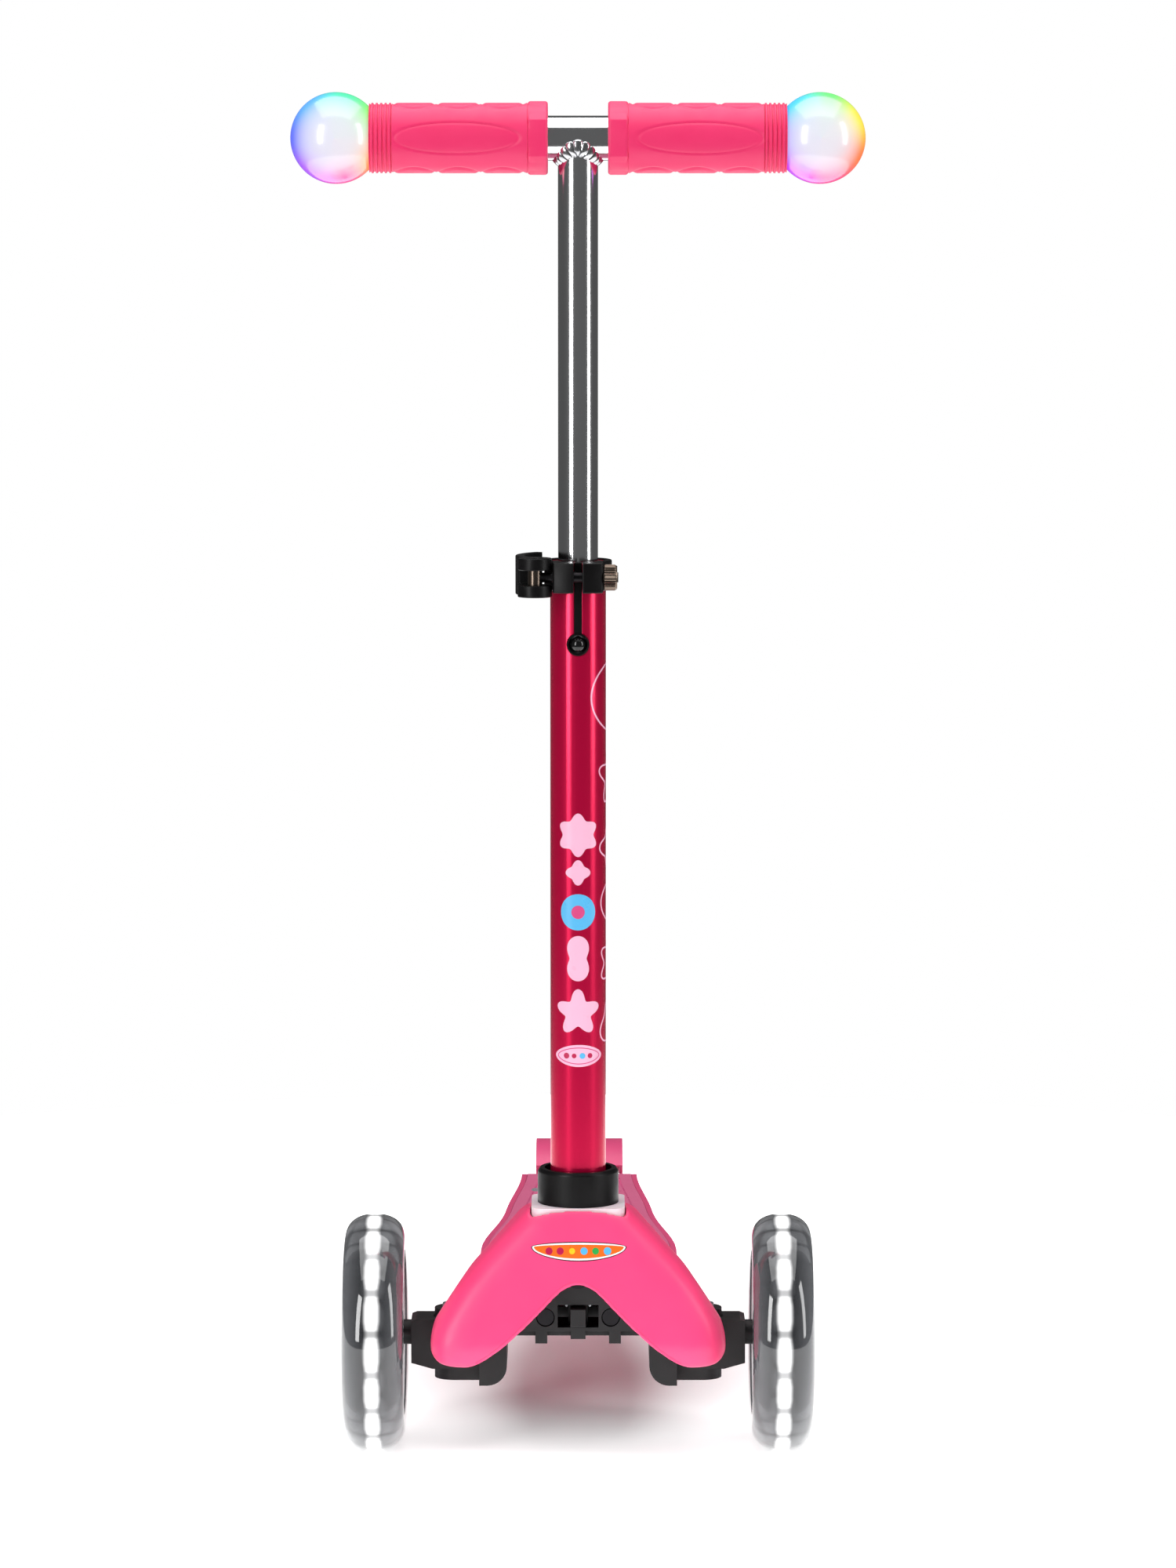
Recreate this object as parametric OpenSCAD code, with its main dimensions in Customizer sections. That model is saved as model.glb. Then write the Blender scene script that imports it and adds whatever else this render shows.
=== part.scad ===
// Child's three-wheel kick scooter that steers by leaning.
// X runs across, Y from front to back, Z up. The ground is z = 0, and the origin is in the middle of the
// footprint. The rider faces -Y, so the rider's left is +X.

/* [Overall] */
// Length from the front tyres to the tip of the brake
overall_l = 560; // [460:1:680]
// Distance between the middles of the front tyres
track_w = 206.6; // [198:0.1:250]
// Height of the crossbar's centre line
bar_z = 664; // [550:1:800]

/* [Handlebar] */
// Outer diameter of the crossbar
bar_d = 22.2; // [19:0.1:27]
// Wall of the crossbar and of the upper tube
bar_wall = 1.5; // [1:0.1:2.5]
// Distance from the middle to a grip's flange
grip_gap = 15; // [13:0.5:25]
// Thickness of a grip's hexagonal flange
flange_w = 10; // [6:0.5:14]
// Diameter of the flange over its corners
flange_d = 39; // [37.5:0.5:48]
// Length of a grip outside its flange
grip_l = 79; // [70:1:95]
// Outer diameter of a grip
grip_d = 35; // [30:0.5:37]
// Diameter of a light globe
globe_d = 45.5; // [42:0.5:55]
// Wall of a light globe
globe_wall = 2; // [1.5:0.1:3]
// Distance that a globe presses in
globe_travel = 1.5; // [1:0.1:3]

/* [Tubes] */
// Outer diameter of the upper tube
upper_d = 20; // [16:0.1:22]
// Outer diameter of the lower tube
lower_d = 28; // [27.8:0.1:34]
// Wall of the lower tube
lower_wall = 1.5; // [1.2:0.1:2.2]
// Height of the lower tube's top
lower_top = 453; // [380:1:500]
// Length of the upper tube inside the lower tube
upper_overlap = 93; // [75:1:120]
// Height of the ball button
ball_z = 412; // [350:1:440]
// Diameter of the ball button
ball_d = 8; // [6:0.1:10]

/* [Clamp] */
// Height of the clamp collar
clamp_h = 15.1; // [12:0.1:20]
// Wall of the clamp collar
clamp_wall = 2.95; // [2:0.05:5]
// Width of the clamp's slit
clamp_slit = 4.3; // [2:0.1:6]
// Diameter of the clamp bolt
clamp_bolt_d = 5; // [4:0.1:6]
// Diameter of the knurled nut
clamp_nut_d = 13; // [10:0.1:16]

/* [Steering head] */
// Height of the lean axis
lean_z = 95; // [94:0.5:97]
// Diameter of the lean pin
lean_pin_d = 10; // [8:0.1:11]
// Outer diameter of the collar
collar_d = 41; // [41:0.1:49]
// Underside of the collar
collar_z = 127.4; // [127.4:0.1:134]
// Height of the collar
collar_h = 17.6; // [15:0.1:24]
// Depth of the socket below the collar
socket_h = 19.4; // [14:0.1:19.4]
// Distance from the lean axis down to the peg
peg_drop = 30; // [29:0.5:31]

/* [Front wheels] */
// Diameter of a front wheel
front_wheel_d = 120; // [110:1:144]
// Width of a front tyre
front_tyre_w = 31; // [28:0.5:34]
// Diameter of a front hub
front_hub_d = 84; // [74:1:92]
// Width of the ring of lights
light_ring_w = 7.2; // [5:0.1:10]
// Diameter of every wheel axle
axle_d = 8; // [6:0.1:8.5]

/* [Chassis] */
// Distance between the kingpins
kingpin_span = 126; // [124:1:132]
// Diameter of a kingpin
kingpin_d = 8; // [6:0.1:9]
// Distance from a kingpin back to its tie rod pin
steer_arm = 25; // [24:0.5:26]
// Wall of the front cover
cover_wall = 2.6; // [2:0.1:3.2]

/* [Deck] */
// Height of the deck's top
deck_z = 70; // [66:0.5:72]
// Depth of the deck's skirt
deck_h = 22; // [18:0.5:26]
// Width at the widest place
deck_w = 105; // [90:1:126]
// Width at the waist
waist_w = 82; // [76:1:100]
// Width at the rear end
tail_w = 66; // [64:1:76]
// Wall of the deck
deck_wall = 4; // [3:0.1:5]
// Border between the deck's edge and the mat
mat_border = 3; // [2:0.1:6]
// Thickness of the mat
mat_t = 2; // [1.5:0.1:3]

/* [Rear wheel and brake] */
// Diameter of the rear wheel
rear_wheel_d = 80; // [72:1:88]
// Width of the rear tyre
rear_tyre_w = 24; // [20:0.5:25]
// Gap between the tyre and the brake
brake_gap = 3; // [2.5:0.1:5]
// Thickness of the brake fender
fender_t = 1.6; // [1.2:0.1:2.5]
// Width of the brake fender
fender_w = 50; // [46:0.5:52]
// Distance from the rear axle to the tip of the brake
tail_reach = 62; // [58:1:74]

/* [Hidden] */
$fn = 48;
run_gap = 0.05;       // radial clearance of a shaft that turns
slot_gap = 0.1;       // clearance of a pin in a slot
press_gap = 0.02;     // radial clearance of a pin pressed into its hole
slide_gap = 0.3;      // gap between moving faces
seat_gap = 0.1;       // gap between faces that rest on each other

front_r = front_wheel_d / 2;
front_y = -overall_l / 2 + front_r;
rear_r = rear_wheel_d / 2;
rear_y = overall_l / 2 - tail_reach;
deck_back = rear_y - front_y - 33.5;          // rear end of the deck, from the front axle

bar_r = bar_d / 2;
upper_r = upper_d / 2;
lower_r = lower_d / 2;
lower_bore = lower_r - lower_wall;
flange_out = grip_gap + flange_w;
grip_end = flange_out + grip_l;
globe_r = globe_d / 2;
cup_r = globe_r + slide_gap;
cup_mouth_r = grip_d / 2 - 1.4;
globe_x = grip_end + sqrt(cup_r * cup_r - cup_mouth_r * cup_mouth_r);    // the cup opens inside the grip's edge
bar_end = globe_x - cup_r - globe_travel - 0.7;
stem_r = 6;
stem_in = bar_end - 7;
module_l = 34;

collar_top = collar_z + collar_h;
collar_r = collar_d / 2;
socket_r = lower_r + run_gap;
neck_r = socket_r + 3.05;
socket_z = collar_z - socket_h;
tube_bottom = socket_z + seat_gap;
upper_bottom = lower_top - upper_overlap;
bush_t = 2;
hub_r = lean_pin_d / 2 + bush_t + 5;
hub_half = 17.3;
lever_half = 5;
peg_r = 3;
peg_z = lean_z - peg_drop;

clamp_z = lower_top + 0.8 - clamp_h;
clamp_r = lower_r + slide_gap / 6 + clamp_wall;
clamp_mid = clamp_z + clamp_h / 2;
ear_half = 12.6;
ear_y = -(clamp_r + 4);
cam_r = 8.6;
cam_x = -(ear_half + slide_gap + cam_r);
lever_h = clamp_h + 4.4;
prong_h = 6;
barrel_r = 3.5;

kingpin_x = kingpin_span / 2;
kingpin_r = kingpin_d / 2;
lug_r = 10;
lug_low = 48.9;       // top of the lower lug
lug_high = 66.9;      // underside of the upper lug
chassis_low = 37;
chassis_front = -24;
chassis_back = 20;
wall_in = 17.6;       // inner faces of the two walls that carry the lean pin
block_half = 50;
cavity_half = 36;
front_low = 65;       // lower edge of the front wall
tie_pin_r = 3;
tie_half = 3.5;       // half the tie rod's width
spring_z = 78;
button_half = 4;
button_z = 67.5;
button_h = 9.5;
screw_x = 16.5;
screw_z = 72.1;

wheel_x = track_w / 2;
tyre_half = front_tyre_w / 2;
wheel_in = wheel_x - tyre_half;
wheel_out = wheel_x + tyre_half;
boss_end = wheel_in + 0.9;
block_end = wheel_in - 3.1;
block_top = front_r + 8.5;    // top of the knuckle's block
bearing_r = 11;
bearing_w = 7;
bearing_in = boss_end + slide_gap;
bearing_out = bearing_in + 23;
axle_r = axle_d / 2;
nut_h = 4.8;
cap_r = 15.9;

tongue_top = deck_z - 10;
tongue_back = 95;
cover_top = 122.7;

brake_in = rear_r + brake_gap;
brake_out = brake_in + fender_t;
pivot_y = -46;        // brake pin, from the rear axle
pivot_z = deck_z - 10 - rear_r;
cheek_in = rear_tyre_w / 2 + 2.5;
cheek_t = 6;
wheel_slot_r = rear_r + 2;

// Colours
pink = "#FA4885";
deep_pink = "#F0266A";
magenta = "#D9005E";
black = "#1C1B1D";
steel = "#A8ABB0";
smoke = "#55585C";

// Frames and small helpers
module at_front() translate([0, front_y, 0]) children();
module at_rear() translate([0, rear_y, rear_r]) children();
module both_sides() { children(); mirror([1, 0, 0]) children(); }
module right_side() mirror([1, 0, 0]) children();
// Turns a flat outline of (y, z) into a shape that is extruded along +X
module facing_x() rotate([90, 0, 90]) children();
// Turns a flat outline of (x, z) into a shape that is extruded along +Y
module facing_y() translate([0, 0, 0]) mirror([0, 1, 0]) rotate([90, 0, 0]) children();
module rod_x(from, to, r) translate([from, 0, 0]) rotate([0, 90, 0]) cylinder(h = to - from, r = r);
module rod_y(from, to, r) translate([0, to, 0]) rotate([90, 0, 0]) cylinder(h = to - from, r = r);
module box(x0, x1, y0, y1, z0, z1) translate([x0, y0, z0]) cube([x1 - x0, y1 - y0, z1 - z0]);
// Ring about X between two radii
module ring_x(from, to, inner, outer) difference() {
    rod_x(from, to, outer);
    rod_x(from - 1, to + 1, inner);
}
function smooth(t) = let (c = max(0, min(1, t))) c * c * (3 - 2 * c);
function arc(cx, cy, r, from, to, steps) =
    [for (i = [0 : steps]) let (a = from + (to - from) * i / steps) [cx + r * cos(a), cy + r * sin(a)]];

// Coil spring along +Z, a tube swept round a helix and closed at both ends
module coil(r, wire, h, turns) {
    steps = 12;
    sides = 6;
    n = turns * steps;
    rings = [for (i = [0 : n], s = [0 : sides - 1])
        let (a = 360 * i / steps, t = 360 * s / sides, d = r + wire / 2 * cos(t))
        [d * cos(a), d * sin(a), wire / 2 + (h - wire) * i / n + wire / 2 * sin(t)]];
    walls = [for (i = [0 : n - 1], s = [0 : sides - 1])
        let (a = i * sides + s, b = i * sides + (s + 1) % sides) [a, a + sides, b + sides, b]];
    first = [for (s = [0 : sides - 1]) s];
    last = [for (s = [sides - 1 : -1 : 0]) n * sides + s];
    polyhedron(rings, concat(walls, [first, last]), convexity = 8);
}

// ---- Deck ----
deck_front = 34;
deck_nose = 46;            // half width at the front end
deck_full = 112;           // the deck is widest from here
taper_start = 172;         // and narrows from here
taper_end = deck_back - 114;
function deck_half(y) = deck_nose + (deck_w / 2 - deck_nose) * smooth((y - deck_front) / (deck_full - deck_front))
    - (deck_w - waist_w) / 2 * smooth((y - taper_start) / (taper_end - taper_start))
    - (waist_w - tail_w) / 2 * smooth((y - taper_end + 20) / (deck_back - taper_end + 20));
module deck_outline(from, to, inset, steps = 24) {
    side = [for (i = [0 : steps]) let (y = from + (to - from) * i / steps) [deck_half(y) - inset, y]];
    back = [for (i = [steps : -1 : 0]) [-side[i][0], side[i][1]]];
    polygon(concat(side, back));
}
mat_front = 80;
mat_back = deck_back - 2;
deck_low = deck_z - deck_h;
deck_inner_top = deck_z - deck_wall;
screw_places = [[26, 50], [26, 85]];

module deck_ribs() {
    rib_t = 3;
    first = tongue_back + 25;
    last = deck_back - 40;
    pitch = 40;
    for (y = [first : pitch : last])
        box(-deck_half(y) + 1, deck_half(y) - 1, y, y + rib_t, deck_low + 4, deck_inner_top + 1);
    for (x = [-18, 18])
        box(x - rib_t / 2, x + rib_t / 2, tongue_back + 5, deck_back - 30, deck_low + 2, deck_inner_top + 1);
}

module rear_cheeks() at_rear() both_sides() translate([cheek_in, 0, 0]) facing_x()
    linear_extrude(cheek_t) difference() {
        union() {
            circle(r = 10);
            polygon([[-46, deck_low - rear_r + 12], [-46, deck_low - rear_r], [-3, -9.5], [8, 6],
                [-8, deck_low - rear_r + 12]]);
        }
        circle(r = axle_r + press_gap);
    }

module deck() color(pink) {
    pocket_x = fender_w / 2;
    difference() {
        union() {
            at_front() {
                difference() {
                    translate([0, 0, deck_low]) linear_extrude(deck_h) deck_outline(deck_front, deck_back, 0);
                    translate([0, 0, deck_low - 1]) linear_extrude(deck_h - deck_wall + 1)
                        deck_outline(deck_front + deck_wall, deck_back - 28, deck_wall);
                }
                deck_ribs();
                for (p = screw_places) both_sides() translate([p[0], p[1], tongue_top + seat_gap])
                    cylinder(h = deck_inner_top - tongue_top, r = 5);
            }
            rear_cheeks();
        }
        at_front() {
            // opening of the front skirt for the chassis tongue
            box(-block_half, block_half, deck_front - 1, deck_front + deck_wall + 1, deck_low - 1,
                tongue_top + seat_gap);
            // recess for the mat
            translate([0, 0, deck_z - mat_t + 0.5]) linear_extrude(mat_t)
                deck_outline(mat_front, mat_back, mat_border);
            for (p = screw_places) both_sides() translate([p[0], p[1], tongue_top - 1])
                cylinder(h = 6, r = 2 + press_gap);
        }
        at_rear() {
            // wheel slot, pockets for the brake's ears, room for its spring, and the brake pin's hole
            rod_x(-cheek_in, cheek_in, wheel_slot_r);
            both_sides() box(pocket_x - fender_t - 0.5, pocket_x + 0.5, pivot_y - 9, 0,
                pivot_z - 9, deck_inner_top - rear_r);
            box(-10, 10, pivot_y - 7, pivot_y + 20, pivot_z - 7, deck_inner_top - rear_r);
            translate([0, pivot_y, pivot_z]) rod_x(-29, 29, 2.5 + press_gap);
        }
    }
}

module deck_mat() color("#F472A4") at_front()
    translate([0, 0, deck_z - mat_t + 0.5 + seat_gap / 2]) linear_extrude(mat_t)
        deck_outline(mat_front + 0.2, mat_back - 0.2, mat_border + 0.2);

module deck_screws() color(steel) at_front() for (p = screw_places) both_sides()
    translate([p[0], p[1], tongue_top - 8]) {
        translate([0, 0, -2]) cylinder(h = 2, r = 4);
        cylinder(h = 12.5, r = 2);
    }

// ---- Front cover ----
module cover_form(inset) hull() {
    r = 14 - inset;
    m = 16 - inset;
    translate([0, 0, cover_top - 4]) for (x = [-17, 17], y = [-13, 13]) translate([x, y, 0])
        cylinder(h = 4 - inset, r = 11 - inset, $fn = 32);
    both_sides() {
        translate([61, -32, 61]) sphere(r = r, $fn = 32);
        translate([42, -8, 87]) sphere(r = m, $fn = 32);
        translate([38, 52, deck_z + 1]) cylinder(h = 5 - inset, r = 12 - inset, $fn = 32);
        translate([50, 16, deck_z + 1]) cylinder(h = 6 - inset, r = 20 - inset, $fn = 32);
    }
}

// Rounded arch between the lobes, in (x, z)
module arch_outline() {
    left = [[-58, 40], [-52, 47.6], [-44.4, 54.3], [-29, 68.3], [-17.2, 79.1]];
    crown = arc(0, 77.6, 13.4, 150, 30, 12);
    right = [for (i = [4 : -1 : 0]) [-left[i][0], left[i][1]]];
    polygon(concat(left, crown, right, [[58, 20], [-58, 20]]));
}

module front_cover() color(pink) at_front() difference() {
    cover_form(0);
    cover_form(cover_wall);
    // everything low down behind the lobes stays open for the arms
    box(-100, 100, -17.5, 100, 0, deck_z + 1.3);
    // room for the chassis side blocks, and notches over the kingpins
    both_sides() box(cavity_half - 1, block_half + slide_gap, chassis_front - slide_gap, 0, 0, lug_low + 8);
    both_sides() box(kingpin_x - lug_r - 1, 100, -14, 14, 0, max(lug_high + 9.1, block_top + 1.5));
    translate([0, -60, 0]) facing_y() linear_extrude(45) arch_outline();
    // opening for the neck of the steering head
    for (x = [-4.4, 4.4]) translate([x, 0, cover_top - 12]) cylinder(h = 20, r = 18);
    box(-4.4, 4.4, -18, 18, cover_top - 12, cover_top + 8);
}

module cover_gasket() color("#F4ECEE") at_front() translate([0, 0, cover_top + seat_gap])
    linear_extrude(collar_z - cover_top - 2 * seat_gap) difference() {
        union() {
            square([47.2, 32], center = true);
            square([35.2, 44], center = true);
            for (x = [-17.6, 17.6], y = [-16, 16]) translate([x, y]) circle(r = 6);
        }
        circle(r = neck_r + slide_gap);
    }

// ---- Chassis ----
// One side of the chassis in (x, z), with its rounded inner corner
module side_outline() polygon(concat([[cavity_half, 90], [block_half, 84], [block_half, chassis_low]],
    arc(cavity_half + 10, chassis_low + 10, 10, 270, 180, 8)));

module kingpin_arm(low, high) {
    box(cavity_half + 10, kingpin_x, -lug_r, lug_r, low, high);
    translate([kingpin_x, 0, low]) cylinder(h = high - low, r = lug_r);
}

module chassis_body() color(black) at_front() difference() {
    union() {
        // the two walls that carry the lean pin
        box(-cavity_half - 1, cavity_half + 1, chassis_front, -wall_in, front_low, 90);
        box(-cavity_half - 1, cavity_half + 1, wall_in, chassis_back + 1, front_low, 90);
        translate([0, 0, lean_z]) {
            rod_y(chassis_front, -wall_in, hub_r);
            rod_y(wall_in, chassis_back + 1, hub_r);
        }
        both_sides() {
            translate([0, chassis_front, 0]) facing_y() linear_extrude(chassis_back - chassis_front) side_outline();
            kingpin_arm(chassis_low, lug_low);
            kingpin_arm(lug_high, lug_high + 6);
            box(cavity_half, deck_nose - deck_wall - 0.5, chassis_back - 10, tongue_back, tongue_top - 8, tongue_top);
        }
        // tongue under the deck
        box(-cavity_half - 1, cavity_half + 1, steer_arm + 7, tongue_back, tongue_top - 8, tongue_top);
        // feet under the front edge
        for (x = [-18.6, 18.6]) box(x - 3, x + 3, chassis_front, chassis_front + 6, 58.7, front_low);
        box(-3.75, 3.75, chassis_front, chassis_front + 6, 61, front_low);
    }
    translate([0, 0, lean_z]) rod_y(chassis_front - 1, chassis_back + 2, lean_pin_d / 2 + press_gap);
    both_sides() {
        translate([kingpin_x, 0, 0]) cylinder(h = 90, r = kingpin_r + press_gap);
        translate([screw_x, 0, screw_z]) {
            rod_y(chassis_front - 1, chassis_front + 3, 4.65);
            rod_y(chassis_front, -wall_in + 1, 2 + press_gap);
        }
        for (p = screw_places) translate([p[0], p[1], 0]) cylinder(h = 90, r = 2 + press_gap);
    }
    // recess of the release button, and the window for the peg
    box(-10.3, 10.3, chassis_front - 1, -wall_in + 1, front_low + 2, front_low + 13.5);
    box(-12, 12, wall_in - 1, chassis_back + 2, front_low - 1, peg_z + 10);
}

module chassis_base() color(black) at_front()
    box(-cavity_half + slide_gap, cavity_half - slide_gap, -wall_in, 14, front_low - 3.5, front_low - seat_gap);

module chassis_screws() color(steel) at_front() both_sides() translate([screw_x, 0, screw_z]) {
    rod_y(chassis_front + 0.5, chassis_front + 3, 4.2);
    rod_y(chassis_front + 3, -wall_in - 0.4, 2);
}

module lean_pin() color(steel) at_front() translate([0, 0, lean_z]) {
    rod_y(chassis_front - 2, chassis_back + 3, lean_pin_d / 2);
    rod_y(chassis_front - 4, chassis_front - seat_gap, lean_pin_d / 2 + 2.5);
}

module kingpins() color(steel) at_front() both_sides() translate([kingpin_x, 0, 0]) {
    translate([0, 0, chassis_low - 0.5]) cylinder(h = lug_high + 6.6 - chassis_low, r = kingpin_r);
    translate([0, 0, lug_high + 6 + seat_gap]) cylinder(h = 2, r = kingpin_r + 2);
}

module steering_springs() color(steel) at_front() both_sides()
    translate([lever_half + slide_gap, 0, spring_z]) rotate([0, 90, 0])
        coil(4.6, 1.3, cavity_half - lever_half - 2 * slide_gap, 7);

// ---- Steering head ----
module steering_head() color(black) at_front() difference() {
    union() {
        translate([0, 0, collar_z]) cylinder(h = collar_h - 2, r = collar_r);
        translate([0, 0, collar_top - 2]) cylinder(h = 2, r1 = collar_r, r2 = collar_r - 1.2, $fn = 48);
        translate([0, 0, lean_z]) cylinder(h = collar_z - lean_z, r = neck_r);
        translate([0, 0, lean_z]) rod_y(-hub_half, hub_half, hub_r);
        box(-lever_half, lever_half, -15, 15, front_low + 1, lean_z);
        box(-lever_half, lever_half, 14, chassis_back + 0.5, peg_z - peg_r, peg_z + 8);
        translate([0, 0, peg_z]) rod_y(chassis_back, steer_arm + tie_half + 2, peg_r);
    }
    // tube socket, and the wider mouth of the collar
    translate([0, 0, socket_z]) cylinder(h = 60, r = socket_r);
    translate([0, 0, collar_top - 9]) cylinder(h = 20, r = lower_r + 3);
    translate([0, 0, lean_z]) rod_y(-hub_half - 1, hub_half + 1, lean_pin_d / 2 + bush_t + press_gap);
    // pocket of the button's spring
    translate([0, 0, button_z + button_h / 2]) rod_y(-16, -8, 3.6);
    // the lever passes over the base plate and through the window
    box(-20, 20, -16, 14.9, 0, front_low + 1);
}

module head_bushes() color("#C9A24A") at_front() translate([0, 0, lean_z]) for (side = [-1, 1])
    difference() {
        rod_y(side < 0 ? -hub_half : 2, side < 0 ? -2 : hub_half, lean_pin_d / 2 + bush_t);
        rod_y(-hub_half - 1, hub_half + 1, lean_pin_d / 2 + run_gap);
    }

module release_button() color(black) at_front()
    box(-button_half, button_half, chassis_front - 3, -18.5, button_z, button_z + button_h);

module button_spring() color(steel) at_front() translate([0, -8.2, button_z + button_h / 2])
    rotate([90, 0, 0]) coil(2.6, 0.9, 10, 5);

module tie_rod() color(black) at_front() difference() {
    union() {
        box(-kingpin_x, kingpin_x, steer_arm - tie_half, steer_arm + tie_half, peg_z - 4, peg_z + 4);
        both_sides() translate([kingpin_x, steer_arm, peg_z - 4]) cylinder(h = 8, r = 6.6);
        box(-8, 8, steer_arm - tie_half, steer_arm + tie_half, peg_z - 6.5, peg_z + 7);
    }
    // slots that let the pins follow their arcs
    both_sides() translate([kingpin_x, steer_arm, peg_z - 5]) {
        cylinder(h = 20, r = tie_pin_r + slot_gap);
        translate([0, -0.6, 0]) cylinder(h = 20, r = tie_pin_r + slot_gap);
        box(-tie_pin_r - slot_gap, tie_pin_r + slot_gap, -0.6, 0, 0, 20);
    }
    translate([0, 0, peg_z]) {
        rod_y(10, 40, peg_r + slot_gap);
        translate([0, 0, 0.5]) rod_y(10, 40, peg_r + slot_gap);
        box(-peg_r - slot_gap, peg_r + slot_gap, 10, 40, 0, 0.5);
    }
}

// ---- Knuckles and front wheels ----
module knuckle() color("#2A262B") at_front() difference() {
    union() {
        translate([kingpin_x, 0, lug_low + slide_gap])
            cylinder(h = lug_high - lug_low - 2 * slide_gap, r = lug_r - 0.5);
        translate([0, -11, 0]) facing_y() linear_extrude(22) polygon([[kingpin_x, front_r - 17],
            [kingpin_x + 11, front_r - 17], [block_end, front_r - 14], [block_end, block_top - 1],
            [block_end - 2.5, block_top], [kingpin_x, block_top]]);
        translate([0, 0, front_r]) rod_x(block_end - 1, boss_end, 6.3);
        // arm to the tie rod
        box(kingpin_x - 5, kingpin_x + 5, 0, steer_arm, lug_low + 1, peg_z - 5);
        translate([kingpin_x, steer_arm, lug_low + 1]) cylinder(h = peg_z - 6 - lug_low, r = 5);
        translate([kingpin_x, steer_arm, lug_low + 1]) cylinder(h = peg_z + 5 - lug_low, r = tie_pin_r);
    }
    for (z = [lug_low + slide_gap - 30, lug_high - slide_gap]) translate([kingpin_x, 0, z])
        cylinder(h = 30, r = lug_r + 0.5);
    translate([kingpin_x, 0, 0]) cylinder(h = 100, r = kingpin_r + run_gap);
    translate([0, 0, front_r]) {
        rod_x(kingpin_x + lug_r + 1, boss_end + 1, axle_r + press_gap);
        rod_x(kingpin_x + lug_r + 1, kingpin_x + lug_r + 6, axle_r + 3 + press_gap);
    }
}

module axle_stud() color(steel) at_front() translate([0, 0, front_r]) {
    rod_x(kingpin_x + lug_r + 1.2, bearing_out + nut_h, axle_r);
    rod_x(kingpin_x + lug_r + 1.2, kingpin_x + lug_r + 5.8, axle_r + 3);
}

module axle_nut() color(steel) at_front() translate([bearing_out + 0.2, 0, front_r]) rotate([0, 90, 0])
    difference() {
        cylinder(h = nut_h, r = 7.2, $fn = 6);
        translate([0, 0, -1]) cylinder(h = 10, r = axle_r + press_gap);
    }

module tyre_form(half, r, hub, corner) rotate([0, 90, 0]) rotate_extrude($fn = 96)
    polygon(concat([[hub, -half + 1.5], [hub + 4, -half]], arc(r - corner, -half + corner, corner, 270, 360, 8),
        arc(r - corner, half - corner, corner, 0, 90, 8), [[hub + 4, half], [hub, half - 1.5]]));

module front_tyre() color(smoke) at_front() translate([wheel_x, 0, front_r])
    tyre_form(tyre_half, front_r, front_hub_d / 2 + seat_gap / 2, 13);

module front_hub() color("#E9EAEC") at_front() translate([wheel_x, 0, front_r]) {
    groove = light_ring_w / 2 + seat_gap;
    rim = front_hub_d / 2;
    half = tyre_half - 1.5;
    difference() {
        union() {
            ring_x(-half, half, rim - 6, rim);
            ring_x(-half, half, bearing_r, cap_r + 3);
            ring_x(-4, 4, bearing_r, rim - 5);
        }
        ring_x(-groove, groove, rim - 2.5, rim + 1);
        // windows between the spokes
        for (i = [0 : 5]) rotate([60 * i, 0, 0]) translate([0, 0, (cap_r + rim) / 2 - 1]) rod_x(-6, 6, 8);
        // recess of the hub cap
        rod_x(bearing_out + nut_h - wheel_x + 1, half + 1, cap_r + 0.1);
    }
    ring_x(bearing_in + bearing_w - wheel_x + 0.2, bearing_out - bearing_w - wheel_x - 0.2, 8, bearing_r + 1);
}

module light_ring() color("white") at_front() translate([wheel_x, 0, front_r])
    ring_x(-light_ring_w / 2, light_ring_w / 2, front_hub_d / 2 - 2.4, front_hub_d / 2 - seat_gap);

module bearing(from) {
    ring_x(from, from + bearing_w, axle_r + run_gap, axle_r + 2.2);
    ring_x(from + 0.8, from + bearing_w - 0.8, axle_r + 2.2, bearing_r - 2);
    ring_x(from, from + bearing_w, bearing_r - 2, bearing_r - press_gap);
}

module wheel_bearings() color(steel) at_front() translate([0, 0, front_r]) {
    bearing(bearing_in);
    bearing(bearing_out - bearing_w);
    ring_x(bearing_in + bearing_w + 0.1, bearing_out - bearing_w - 0.1, axle_r + run_gap, axle_r + 1.8);
}

// Shallow cap that snaps into the hub, turned about the axle
module hub_cap() color("white") at_front() translate([0, 0, front_r]) {
    cap_in = bearing_out + nut_h + 1.2;
    crown = wheel_out + 1.5;
    rotate([0, 90, 0]) rotate_extrude($fn = 96)
        polygon([[0, cap_in], [cap_r, cap_in], [cap_r, crown - 1.6], [cap_r - 3, crown - 0.5],
            [cap_r - 8, crown], [0, crown]]);
}

// ---- Rear wheel ----
module rear_tyre() color(smoke) at_rear() tyre_form(rear_tyre_w / 2, rear_r, 26.05, 9);

module rear_hub() color("#E9EAEC") at_rear() {
    half = rear_tyre_w / 2 - 1.5;
    difference() {
        union() {
            ring_x(-half, half, 21, 26);
            ring_x(-half, half, bearing_r, 14);
            ring_x(-3, 3, 8, 22);
        }
        for (i = [0 : 4]) rotate([72 * i, 0, 0]) translate([0, 0, 17.5]) rod_x(-6, 6, 3);
    }
}

module rear_bearings() color(steel) at_rear() {
    half = rear_tyre_w / 2 - 1.5;
    bearing(-half);
    bearing(half - bearing_w);
    ring_x(-half + bearing_w + 0.1, half - bearing_w - 0.1, axle_r + run_gap, axle_r + 1.8);
}

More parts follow.
